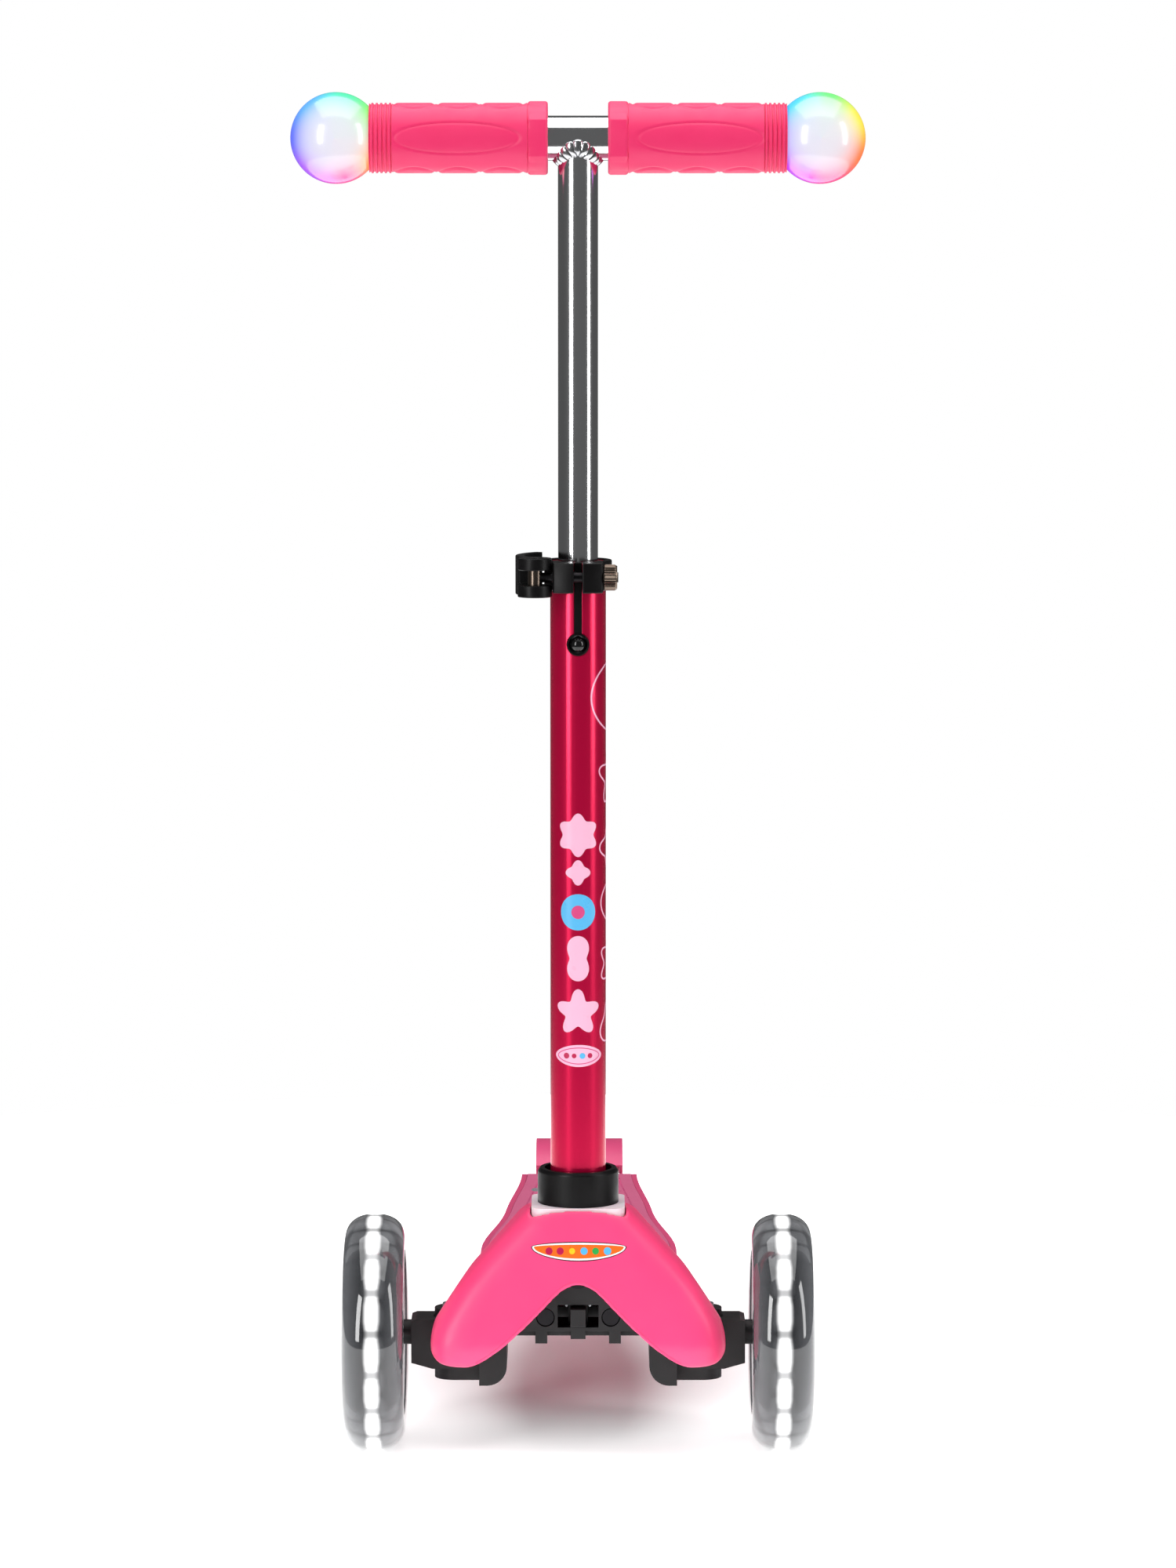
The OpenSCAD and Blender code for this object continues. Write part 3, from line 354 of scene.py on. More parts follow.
# Milky globe lit from inside: a white core, and colours that run round its rim
def globeMaterial(name, centre, radius, colours):
    material, tree, shader = newMaterial(name, "#F4F5FA", 0.22, Coat_Weight=0.4, Coat_Roughness=0.08)
    place = placeFrom(tree, centre)
    angle = addNode(tree, "ShaderNodeMath", {0: place["Z"], 1: place["X"]}, operation="ARCTAN2")
    turn = addNode(tree, "ShaderNodeMapRange", {"Value": angle.outputs[0], "From Min": -pi, "From Max": pi})
    ramp = addNode(tree, "ShaderNodeValToRGB", {"Fac": turn.outputs[0]})
    ramp.color_ramp.interpolation = "EASE"
    stops = ramp.color_ramp.elements
    while len(stops) < len(colours) + 1:
        stops.new(0.5)
    for i in range(len(colours) + 1):
        stops[i].position = i / len(colours)
        stops[i].color = sRgb(colours[i % len(colours)])
    depth = addNode(tree, "ShaderNodeMath", {0: place["Y"], 1: 1 / radius}, operation="MULTIPLY")
    depth = addNode(tree, "ShaderNodeMath", {0: depth.outputs[0]}, operation="ABSOLUTE")
    core = addNode(tree, "ShaderNodeMapRange", {"Value": depth.outputs[0], "From Min": 0.3, "From Max": 1.0,
                                                "To Min": 0.0, "To Max": 0.97}, interpolation_type="SMOOTHSTEP")
    mix = addNode(tree, "ShaderNodeMix", {"Factor": core.outputs[0], "A": ramp.outputs["Color"],
                                          "B": sRgb("#ECEBF4")}, data_type="RGBA")
    tree.links.new(mix.outputs["Result"], shader.inputs["Emission Color"])
    under = addNode(tree, "ShaderNodeMix", {"Factor": core.outputs[0], "A": ramp.outputs["Color"],
                                            "B": sRgb("#8E8F98")}, data_type="RGBA")
    under = addNode(tree, "ShaderNodeMix", {"Factor": 0.45, "A": under.outputs["Result"], "B": sRgb("#000000")},
                    data_type="RGBA")
    tree.links.new(under.outputs["Result"], shader.inputs["Base Color"])
    shader.inputs["Emission Strength"].default_value = 0.85
    return material


# Camera, lights and floor
studio = {"lens": 137.52, "distance": 3.0, "height": 0.670, "side": 0.005, "tilt": 6.27}
camera = putIn("camera", bpy.data.cameras.new("camera"))
camera.data.lens = studio["lens"]
camera.data.sensor_width = 36
camera.data.clip_end = 50
camera.location = (studio["side"], frontAxle.y - studio["distance"], studio["height"])
camera.rotation_euler = (radians(90 - studio["tilt"]), 0, 0)
bpy.context.scene.camera = camera


def softLight(name, place, aim, size, power):
    lamp = bpy.data.lights.new(name, "AREA")
    lamp.shape = "RECTANGLE"
    lamp.size, lamp.size_y = size
    lamp.energy = power
    holder = putIn(name, lamp)
    holder.location = place
    holder.rotation_euler = (Vector(aim) - Vector(place)).to_track_quat("-Z", "Y").to_euler()


softLight("keyBox", (-1.55, -2.05, 1.0), (0, -0.15, 0.35), (0.6, 1.9), 36)
softLight("sideBox", (2.0, -1.1, 1.0), (0, -0.15, 0.35), (0.5, 1.9), 22)
softLight("topBox", (0, -0.1, 2.3), (0, -0.1, 0), (2.4, 2.4), 48)

# A dim room that is a little brighter in front of the object. The camera sees a white backdrop.
room = {"front": 0.13, "behind": 0.1, "backdrop": 1.0}
world = bpy.data.worlds.new("studio")
bpy.context.scene.world = world
world.use_nodes = True
tree = world.node_tree
towards = addNode(tree, "ShaderNodeTexCoord").outputs["Generated"]
towards = addNode(tree, "ShaderNodeSeparateXYZ", {"Vector": towards}).outputs["Y"]
level = addNode(tree, "ShaderNodeMapRange", {"Value": towards, "From Min": -1.0, "From Max": 0.0,
                                             "To Min": room["front"], "To Max": room["behind"]})
seen = addNode(tree, "ShaderNodeLightPath").outputs["Is Camera Ray"]
strength = addNode(tree, "ShaderNodeMapRange", {"Value": seen, "To Min": level.outputs[0],
                                                "To Max": room["backdrop"]})
sky = tree.nodes["Background"]
sky.inputs["Color"].default_value = (1, 1, 1, 1)
tree.links.new(strength.outputs[0], sky.inputs["Strength"])

# Round paper floor with painted light: it glows more away from the object, up to the backdrop's white, which leaves a
# painted shade round the object's middle
floorLook = {"radius": 0.9, "glowFrom": 0.03, "glowTo": 0.38, "sides": 96}
floorMaterial, tree, shader = newMaterial("palePaper", "#FFFFFF", 0.9, Specular_IOR_Level=0.0)
addGrain(tree, shader, 6, 0.02, 0.9, 0.05)
# Painted light: no glow at the middle and full glow from glowTo outwards, so the floor is painted darker near the
# object
away = addNode(tree, "ShaderNodeVectorMath", {0: objectPoint(tree)}, operation="LENGTH").outputs["Value"]
glow = addNode(tree, "ShaderNodeMapRange", {"Value": away, "From Min": floorLook["glowFrom"],
                                            "From Max": floorLook["glowTo"]}, interpolation_type="SMOOTHSTEP")
tree.links.new(glow.outputs[0], shader.inputs["Emission Strength"])
shader.inputs["Emission Color"].default_value = (1, 1, 1, 1)
floorMesh = bpy.data.meshes.new("paperFloor")
rim = [(floorLook["radius"] * cos(a), floorLook["radius"] * sin(a), 0) for a in around(floorLook["sides"])]
floorMesh.from_pydata(rim, [], [range(len(rim))])
floorMesh.materials.append(floorMaterial)
floorPiece = putIn("paperFloor", floorMesh)
print("studio ready")

# CAD nodes that stay, with rounded edges and their finishes
# For each finish: its material, the width of its edge rounding in millimetres, and its nodes
finishes = (
    (matRubber, 0.5, "deck_mat"), (magentaTube, 0.3, "lower_tube"), (bushBronze, 0.2, "head_bushes"),
    (polished, 0.2, "upper_tube"), (polished, 0.3, "crossbar"), (solderMask, 0.3, "light_modules"),
    (glossBlack, 0.2, "ball_button"), (bronzeNut, 0.4, "barrel_pin"),
    (dullNylon, 0.5, "chassis_base tie_rod"), (dullNylon, 0.6, "release_button"),
    (dullNylon, 1.6, "chassis_body knuckle_left knuckle_right"),
    (blackNylon, 0.25, "guide_shim"), (blackNylon, 0.3, "upper_plug"), (blackNylon, 0.4, "tube_plug"),
    (blackNylon, 1.0, "steering_head"), (blackNylon, 1.9, "clamp_lever"), (blackNylon, 2.2, "clamp_collar"),
    (blackSteel, 0.3, "clamp_bolt"), (blackSteel, 0.4, "chassis_screws"), (blackSteel, 0.6, "lean_pin"),
    (zincSteel, 0, "steering_springs brake_spring button_spring"),
    (zincSteel, 0.2, "wheel_bearings_left wheel_bearings_right rear_bearings"),
    (zincSteel, 0.3, "deck_screws rear_axle_fittings brake_pin axle_stud_left axle_stud_right"),
    (zincSteel, 0.4, "kingpins rear_axle axle_nut_left axle_nut_right"),
    (whiteAbs, 0.2, "light_ring_left light_ring_right"), (whiteAbs, 0.3, "hub_cap_left hub_cap_right"),
    (whiteAbs, 0.5, "front_hub_left front_hub_right rear_hub"),
)
for material, rounding, name in [(m, r, name) for m, r, names in finishes for name in names.split()]:
    node = nodes[name]
    node.data.materials.clear()
    node.data.materials.append(material)
    weld = node.modifiers.new("weld", "WELD")
    weld.merge_threshold = 0.01 * mm
    if rounding:
        roundEdges(node, rounding)
        even = node.modifiers.new("evenShading", "WEIGHTED_NORMAL")
        even.keep_sharp = True
print("CAD nodes finished")


def dress(piece, material, body, slotName, *replaced):
    piece.data.materials.clear()
    piece.data.materials.append(material)
    if replaced:
        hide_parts(*replaced)
    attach(piece, body)
    return piece


# The curves of these nodes are made of short flats, so smoothly shaded copies stand for them
smoothNodes = {"deck": ("deckShell", "base", "pink_plastic", 1.2),
               "brake_fender": ("brakeFender", "brake", "deep_pink_plastic", 0.5)}
for name, (pieceName, body, slotName, rounding) in smoothNodes.items():
    dress(smoothCopy(pieceName, name, rounding), deckPlastic, body, slotName, name)
print("smooth copies made")

# Tyres
# The front tyres are lit. The rear one is plain, with a lower crown.
tyreShape = {"crownTall": 13.0, "crownPower": 0.88, "crownSteps": 28, "sideDish": 0.6, "steps": 144,
             "litInner": 0.7, "plainInner": 0.652, "clearance": 0.1, "plainCrown": 0.75}


def makeTyre(name, node, body, lit):
    low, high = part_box(node)
    centre = (low + high) / 2
    half = (high.x - low.x) / 2
    outer = (high.z - low.z) / 2
    inner = outer * tyreShape["litInner" if lit else "plainInner"] + tyreShape["clearance"] * mm
    tall = tyreShape["crownTall"] * mm * (1 if lit else tyreShape["plainCrown"])
    dish = tyreShape["sideDish"] * mm
    crown = []
    for i in range(tyreShape["crownSteps"] + 1):
        a = pi * i / tyreShape["crownSteps"]
        x = half * abs(cos(a)) ** tyreShape["crownPower"] * (1 if a < pi / 2 else -1)
        crown.append((x, outer - tall + tall * sin(a) ** tyreShape["crownPower"]))
    outline = [(half - dish, inner)] + crown + [(-half + dish, inner)]
    outline = [(centre.x + x, r) for x, r in outline]
    piece = turned(name, outline, centre, tyreShape["steps"], 40)
    return dress(piece, tyreMaterial(name + "Urethane", centre, half, lit), body, "smoke_tyre", node)


for side in ("left", "right"):
    makeTyre("frontTyre_" + side, "front_tyre_" + side, "front_wheel_" + side, True)
makeTyre("rearTyre", "rear_tyre", "rear_wheel", False)

# Grips
grip = {"flangeStart": 15, "flangeEnd": 25, "end": 104, "radius": 17.45, "flat": 17.4, "corner": 19.5,
        "flangeRound": 1.4, "flangeSteps": 5, "hexSharp": 6, "hexBlunt": 1.075,
        "ribs": 5, "ribPitch": 2.2, "ribDepth": 0.8,
        "padCentres": (37.5, 59.5, 81.5), "padLong": 10.2, "padWide": 9.5, "padGroove": 0.75, "padSoft": 0.11,
        "ovalCentre": 60.5, "ovalLong": 31, "ovalWide": 8, "ovalRidge": 0.5, "ovalSoft": 0.55, "ovalSunk": 0.22,
        "bore": 11.2, "cup": 22.98, "cupSteps": 6, "step": 0.55, "fineStep": 0.2, "fineEnd": 13, "around": 240}


def hexRadius(a):
    local = (a + pi / 6) % (pi / 3) - pi / 6
    flat = grip["flat"] / cos(local)
    corner = grip["corner"] * grip["hexBlunt"]
    return (flat ** -grip["hexSharp"] + corner ** -grip["hexSharp"]) ** (-1 / grip["hexSharp"])


def flangeRadius(x, a):
    edge = min(x - grip["flangeStart"], grip["flangeEnd"] - x)
    fall = max(0, grip["flangeRound"] - edge)
    return min(hexRadius(a), grip["corner"]) - grip["flangeRound"] + sqrt(grip["flangeRound"] ** 2 - fall ** 2)


def bodyRadius(x, a):
    r = grip["radius"]
    ribsStart = grip["end"] - grip["ribs"] * grip["ribPitch"] - 0.6
    if x > ribsStart:
        wave = 0.5 + 0.5 * cos(2 * pi * (x - ribsStart) / grip["ribPitch"])
        return r - grip["ribDepth"] * smoothStep(0.25, 0.75, wave)
    # oval pads above and below
    for centre in grip["padCentres"]:
        for top in (pi / 2, 3 * pi / 2):
            arc = (a - top) * r
            d = hypot((x - centre) / grip["padLong"], arc / grip["padWide"])
            r -= grip["padGroove"] * exp(-((d - 1) / grip["padSoft"]) ** 2)
    # raised line of the oval at the front and the back
    for front in (0, pi, 2 * pi):
        arc = (a - front) * grip["radius"]
        d = hypot((x - grip["ovalCentre"]) / grip["ovalLong"], arc / grip["ovalWide"])
        away = abs(d - 1) * grip["ovalWide"] * (1 + 0.6 * abs(x - grip["ovalCentre"]) / grip["ovalLong"])
        r -= grip["ovalRidge"] * exp(-(away / grip["ovalSoft"]) ** 2)
        r -= grip["ovalSunk"] * smoothStep(1.02, 0.9, d) if d < 1.02 else 0
    return r


def makeGrip(side, sign):
    rows = []
    angles = around(grip["around"])

    def addRow(x, radii):
        rows.append([Vector((sign * x * mm, barCentre.y + r * mm * cos(a), barCentre.z + r * mm * sin(a)))
                     for a, r in zip(angles, radii)])

    addRow(grip["flangeStart"], [grip["bore"]] * len(angles))
    steps = grip["flangeSteps"]
    for i in range(steps + 1):
        x = grip["flangeStart"] + grip["flangeRound"] * (1 - cos(pi / 2 * i / steps))
        addRow(x, [flangeRadius(x, a) for a in angles])
    for i in range(steps, -1, -1):
        x = grip["flangeEnd"] - grip["flangeRound"] * (1 - cos(pi / 2 * i / steps))
        addRow(x, [max(flangeRadius(x, a), grip["radius"] - 0.5) for a in angles])
    x = grip["flangeEnd"] + 0.2
    while x < grip["end"] - 0.5:
        addRow(x, [bodyRadius(x, a) for a in angles])
        x += grip["step"] if x < grip["end"] - grip["fineEnd"] else grip["fineStep"]
    # rounded lip and the cup that holds the globe
    lip = grip["radius"] - 0.1
    addRow(grip["end"] - 0.15, [lip - 0.2] * len(angles))
    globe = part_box("light_globe_" + side)
    outerX = max(abs(globe[0].x), abs(globe[1].x)) / mm
    middle = outerX - globeRadius / mm
    for i in range(grip["cupSteps"] + 1):
        r = lip - 0.5 - (lip - 0.5 - grip["bore"]) * i / grip["cupSteps"]
        addRow(middle - 1.5 - sqrt(max(0, grip["cup"] ** 2 - r ** 2)), [r] * len(angles))
    piece = skin("grip_" + side, rows, True, 50)
    return dress(piece, gripRubber, "upper_bar", "grip_rubber", "grip_" + side)


globeRadius = (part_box("light_globe_left")[1].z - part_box("light_globe_left")[0].z) / 2
for side, sign in (("left", 1), ("right", -1)):
    makeGrip(side, sign)

# Globes
# Colours run anticlockwise seen from the front, from the side that points to -X
globeLook = {"left": ("#6A5AF5", "#C04CF0", "#F53F8C", "#FF7A45", "#F5E04A", "#6FEB7A", "#4CC8F5"),
             "right": ("#5F6CF7", "#A85AF2", "#F2489A", "#FFB04A", "#8FEA62", "#4FE0A8", "#5BA8F7")}
globeShape = {"wall": 2, "neck": 6, "neckFrom": 21.9, "bore": 4.5, "boreFrom": 20, "opening": 0.22, "steps": 48,
              "innerSteps": 39}
for side, sign in (("left", 1), ("right", -1)):
    low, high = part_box("light_globe_" + side)
    tip = high.x if sign > 0 else low.x
    stemEnd = low.x if sign > 0 else high.x
    centre = Vector((tip - sign * globeRadius, (low.y + high.y) / 2, (low.z + high.z) / 2))
    outline = []
    for i in range(globeShape["steps"] + 1):
        a = pi * i / globeShape["steps"]
        outline.append((centre.x + sign * globeRadius * cos(a), globeRadius * sin(a)))
    neck, bore, inner = globeShape["neck"] * mm, globeShape["bore"] * mm, globeRadius - globeShape["wall"] * mm
    outline = [p for p in outline if not (p[1] < neck and (p[0] - centre.x) * sign < 0)]
    outline += [(centre.x - sign * globeShape["neckFrom"] * mm, neck), (stemEnd, neck), (stemEnd, bore),
                (centre.x - sign * globeShape["boreFrom"] * mm, bore)]
    back = pi - globeShape["opening"]
    for i in range(1, globeShape["innerSteps"] + 1):
        a = back - back * i / globeShape["innerSteps"]
        outline.append((centre.x + sign * inner * cos(a), inner * sin(a)))
    piece = turned("lightGlobe_" + side, outline, centre, 96, 50)
    dress(piece, globeMaterial("milkyGlobe_" + side, centre, globeRadius, globeLook[side]), "light_" + side,
          "globe_plastic", "light_globe_" + side)
print("tyres, grips and globes made")

# Front cover: a soft hull of points, hollowed and cut out, with the edges of its cuts eased
cover = {
    # half of the outline seen from the front, (x, z) about the front axle's middle
    "outline": ((0, 130.8), (12, 130.6), (24.6, 127.4), (36.6, 113.5), (50.6, 101), (60.5, 89.5), (68, 78),
                (73.2, 68.5), (75.2, 59.5), (73.8, 53.3), (69.6, 49.4), (63.4, 48.0), (57, 48.6)),
    "heart": 90.0,                      # height that the outline shrinks towards
    # how far the front bulges where the outline has shrunk to each scale
    "bulge": ((1.0, 0), (0.985, 4.5), (0.95, 8.5), (0.9, 11), (0.83, 12.5), (0.7, 13.4), (0.4, 14), (0.02, 14.2)),
    "topFront": -12.5, "lobeFront": -31.5, "slopeFrom": 60, "slopeTall": 64,
    "wall": 2.6, "voxel": 2.0, "smoothing": 14, "edgeVoxel": 0.95, "edgeSmoothing": 5,
    "arch": ((76, 38), (66, 44.5), (58.5, 47.6), (50.5, 51.4), (44.4, 55.4), (36.5, 61.4), (29, 68), (22.5, 74.2),
             (17.2, 79.3), (12.3, 84.3), (6.6, 88.9), (0, 90.8)),
    "rimRadius": 0.75, "rimOut": 1.1, "rimSunk": -0.25,
    # x, y, radius, low and high of upright discs: the flat top around the neck, the shoulders, the lobes, and the
    # tail that lies on the deck
    "discs": ((17, 13, 11, 118.7, 123), (17, -10, 11, 118.7, 123), (42, -8, 12, 80, 97), (60, -24, 13.5, 55, 70),
              (38, 52, 12, 71, 76), (45, 16, 16, 71, 77)),
    # what is cut away, from and to in x, y and z
    "below": (-100, 100, -17.5, 100, -10, 71.3), "notches": (-100, 100, -14, 14, 60, 76.1),
    "seat": (-24, 24, -22.4, 22.4, 122.75, 140), "side": (35, 50.3, -24.3, 0, 0, 56.9),
    "archDeep": (-75, -16), "archFloor": -10, "neckHalf": 4.4, "neckRadius": 18, "neckTall": (110, 135),
}


def plainMesh(piece, name):
    graph = bpy.context.evaluated_depsgraph_get()
    mesh = bpy.data.meshes.new_from_object(piece.evaluated_get(graph))
    mesh.name = name
    bpy.data.objects.remove(piece)
    return putIn(name, mesh)


def hullPiece(name, points):
    work = bmesh.new()
    for p in points:
        work.verts.new(p)
    made = bmesh.ops.convex_hull(work, input=work.verts)
    bmesh.ops.delete(work, geom=[v for v in made["geom_interior"] if isinstance(v, bmesh.types.BMVert)],
                     context="VERTS")
    bmesh.ops.recalc_face_normals(work, faces=work.faces)
    mesh = bpy.data.meshes.new(name)
    work.to_mesh(mesh)
    work.free()
    return putIn(name, mesh)


# A point given in millimetres from the ground under the front axle's middle
def fromAxle(x, y, z):
    return Vector((x * mm, frontAxle.y + y * mm, z * mm))


def block(x0, x1, y0, y1, z0, z1):
    return [fromAxle(x, y, z) for x in (x0, x1) for y in (y0, y1) for z in (z0, z1)]


def smoothed(piece, name, voxel, rounds):
    remesh = piece.modifiers.new("remesh", "REMESH")
    remesh.mode = "VOXEL"
    remesh.voxel_size = voxel * mm
    relax = piece.modifiers.new("relax", "SMOOTH")
    relax.factor = 0.5
    relax.iterations = rounds
    made = plainMesh(piece, name)
    for face in made.data.polygons:
        face.use_smooth = True
    return made


def coverFront(z):
    t = max(0, min(1, (z - cover["slopeFrom"]) / cover["slopeTall"]))
    return cover["lobeFront"] + (cover["topFront"] - cover["lobeFront"]) * t


def makeCover():
    points = []
    for x, z in cover["outline"]:
        for scale, bulge in cover["bulge"]:
            high = cover["heart"] + (z - cover["heart"]) * scale
            for side in (1, -1):
                points.append(fromAxle(side * x * scale, coverFront(high) - bulge, high))
    for side in (1, -1):
        for x, y, radius, low, high in cover["discs"]:
            for a in around(20):
                for z in (low, high):
                    points.append(fromAxle(side * (x + radius * cos(a)), y + radius * sin(a), z))
    outer = smoothed(hullPiece("coverHull", points), "coverOuter", cover["voxel"], cover["smoothing"])
    inner = putIn("coverInner", outer.data.copy())
    for vertex, normal in zip(inner.data.vertices, [n.vector.copy() for n in inner.data.vertex_normals]):
        vertex.co -= normal * cover["wall"] * mm
    arch = smoothCurve(cover["arch"], 4)
    arch = arch + [(-x, z) for x, z in reversed(arch[:-1])]
    wide = arch[0][0]
    arch += [(-wide, cover["archFloor"]), (wide, cover["archFloor"])]
    neck = [fromAxle(side * cover["neckHalf"] + cover["neckRadius"] * cos(a), cover["neckRadius"] * sin(a), z)
            for side in (1, -1) for z in cover["neckTall"] for a in around(48)]
    cutters = [inner, skin("coverArch", [[fromAxle(x, y, z) for x, z in arch] for y in cover["archDeep"]],
                           sharpAngle=20)]
    cutters += [hullPiece("coverCutter", block(*cover[part])) for part in ("below", "notches", "seat")]
    cutters.append(hullPiece("coverNeck", neck))
    for side in (1, -1):
        x0, x1, *others = cover["side"]
        cutters.append(hullPiece("coverSide", block(side * x0, side * x1, *others)))
    for cutter in cutters:
        away = outer.modifiers.new("away", "BOOLEAN")
        away.operation = "DIFFERENCE"
        away.solver = "EXACT"
        away.object = cutter
        outer = plainMesh(outer, "coverCut")
        bpy.data.objects.remove(cutter)
    return smoothed(outer, "frontCover", cover["edgeVoxel"], cover["edgeSmoothing"])


# Points along a smooth line through the given ones
def smoothCurve(points, steps):
    out = []
    for i in range(len(points) - 1):
        p0 = Vector(points[max(i - 1, 0)])
        p1, p2 = Vector(points[i]), Vector(points[i + 1])
        p3 = Vector(points[min(i + 2, len(points) - 1)])
        if i + 2 > len(points) - 1:
            p3 = Vector((-points[-2][0], points[-2][1]))
        for s in range(steps):
            t = s / steps
            out.append(tuple(0.5 * ((2 * p1) + (p2 - p0) * t + (2 * p0 - 5 * p1 + 4 * p2 - p3) * t ** 2
                                    + (3 * p1 - p0 - 3 * p2 + p3) * t ** 3)))
    out.append(tuple(points[-1]))
    return out


coverPiece = makeCover()
dress(coverPiece, pinkPlastic, "base", "pink_plastic", "front_cover")
coverTree = BVHTree.FromPolygons([v.co.copy() for v in coverPiece.data.vertices],
                                 [tuple(f.vertices) for f in coverPiece.data.polygons])
print("cover made:", len(coverPiece.data.polygons), "faces")

# The gasket is soft: it sits on the cover below, and leaves room for the neck
gasketLook = {"rounding": 1.6, "neckReach": 19.8, "roomBelow": 1.14}
low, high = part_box("cover_gasket")
verts = []
for x, y, z in [v.co for v in nodes["cover_gasket"].data.vertices]:
    if z < low.z + 0.5 * mm and hypot(x, y - frontAxle.y) < gasketLook["neckReach"] * mm:
        x *= gasketLook["roomBelow"]
    verts.append((x, y, z))
gasket = plainMesh(smoothCopy("gasketShape", "cover_gasket", gasketLook["rounding"], verts), "coverGasket")
gasket.data.materials.clear()
gasket.data.materials.append(paleSilicone)
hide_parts("cover_gasket")
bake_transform(gasket)
print("gasket made")


def onCover(x, z, height):
    hit = coverTree.ray_cast(fromAxle(x, -150, z), Vector((0, 1, 0)))[0]
    if hit is None:
        return None
    return hit - Vector((0, height * mm, 0))


# Two trees of geometry nodes: studs set on points, and a round bead drawn along paths
def newTree(name, inputs):
    tree = bpy.data.node_groups.new(name, "GeometryNodeTree")
    for label, kind, value in inputs:
        made = tree.interface.new_socket(label, in_out="INPUT", socket_type=kind)
        if value is not None:
            made.default_value = value
    tree.interface.new_socket("Geometry", in_out="OUTPUT", socket_type="NodeSocketGeometry")
    return tree, addNode(tree, "NodeGroupInput").outputs


def endTree(tree, geometry, material):
    real = addNode(tree, "GeometryNodeRealizeInstances", {"Geometry": geometry})
    painted = addNode(tree, "GeometryNodeSetMaterial", {"Geometry": real.outputs[0], "Material": material})
    addNode(tree, "NodeGroupOutput", {"Geometry": painted.outputs[0]})


studTree, given = newTree("studsOnPoints", (("Geometry", "NodeSocketGeometry", None),
                                            ("Radius", "NodeSocketFloat", 0.001),
                                            ("Height", "NodeSocketFloat", 0.0005),
                                            ("Finish", "NodeSocketMaterial", None)))
stud = addNode(studTree, "GeometryNodeMeshIcoSphere", {"Radius": 1.0, "Subdivisions": 2})
facing = addNode(studTree, "GeometryNodeInputNamedAttribute", {"Name": "facing"}, data_type="FLOAT_VECTOR")
turn = addNode(studTree, "FunctionNodeAlignRotationToVector", {"Vector": facing.outputs[0]}, axis="Z")
size = addNode(studTree, "ShaderNodeCombineXYZ", {"X": given["Radius"], "Y": given["Radius"], "Z": given["Height"]})
placed = addNode(studTree, "GeometryNodeInstanceOnPoints", {"Points": given["Geometry"],
                                                            "Instance": stud.outputs["Mesh"],
                                                            "Rotation": turn.outputs[0], "Scale": size.outputs[0]})
soft = addNode(studTree, "GeometryNodeSetShadeSmooth", {"Geometry": placed.outputs[0]})
endTree(studTree, soft.outputs[0], given["Finish"])

beadTree, given = newTree("beadAlongPath", (("Geometry", "NodeSocketGeometry", None),
                                            ("Radius", "NodeSocketFloat", 0.001),
                                            ("Sides", "NodeSocketInt", 8),
                                            ("Finish", "NodeSocketMaterial", None)))
line = addNode(beadTree, "GeometryNodeMeshToCurve", {"Mesh": given["Geometry"]})
ring = addNode(beadTree, "GeometryNodeCurvePrimitiveCircle", {"Resolution": given["Sides"],
                                                              "Radius": given["Radius"]})
tube = addNode(beadTree, "GeometryNodeCurveToMesh", {"Curve": line.outputs[0],
                                                     "Profile Curve": ring.outputs["Curve"], "Fill Caps": True})
soft = addNode(beadTree, "GeometryNodeSetShadeSmooth", {"Geometry": tube.outputs[0]})
endTree(beadTree, soft.outputs[0], given["Finish"])


# Runs a tree on a mesh of points or paths and keeps the result as a plain mesh
def grown(name, verts, edges, tree, values, facing=None):
    mesh = bpy.data.meshes.new(name + "Seed")
    mesh.from_pydata([tuple(v) for v in verts], edges, [])
    if facing:
        layer = mesh.attributes.new("facing", "FLOAT_VECTOR", "POINT")
        for i, direction in enumerate(facing):
            layer.data[i].vector = direction
    seed = putIn(name + "Seed", mesh)
    modifier = seed.modifiers.new("grow", "NODES")
    modifier.node_group = tree
    for item in tree.interface.items_tree:
        if item.in_out == "INPUT" and item.name in values:
            modifier[item.identifier] = values[item.name]
    return plainMesh(seed, name)


# Fine raised rim along the arch
arch = smoothCurve(cover["arch"][3:], 5)
arch = arch + [(-x, z) for x, z in reversed(arch[:-1])]
path = []
for i, (x, z) in enumerate(arch):
    before, after = Vector(arch[max(i - 1, 0)]), Vector(arch[min(i + 1, len(arch) - 1)])
    along = (after - before).normalized()
    p = onCover(x + along.y * cover["rimOut"], z - along.x * cover["rimOut"], cover["rimSunk"])
    if p:
        path.append(p)
rimPiece = grown("coverRim", path, [(i, i + 1) for i in range(len(path) - 1)], beadTree,
                 {"Radius": cover["rimRadius"] * mm, "Sides": 10, "Finish": pinkPlastic})
dress(rimPiece, pinkPlastic, "base", "pink_plastic")


# Thin printed film, laid on a surface by the given function: a filled shape, or a band of the given width
film = {"sunk": -0.25, "heart": 0.04, "fillSteps": 6, "bandSteps": 2}
filmSlot = {"base": "pink_plastic", "lower_bar": "magenta_tube"}


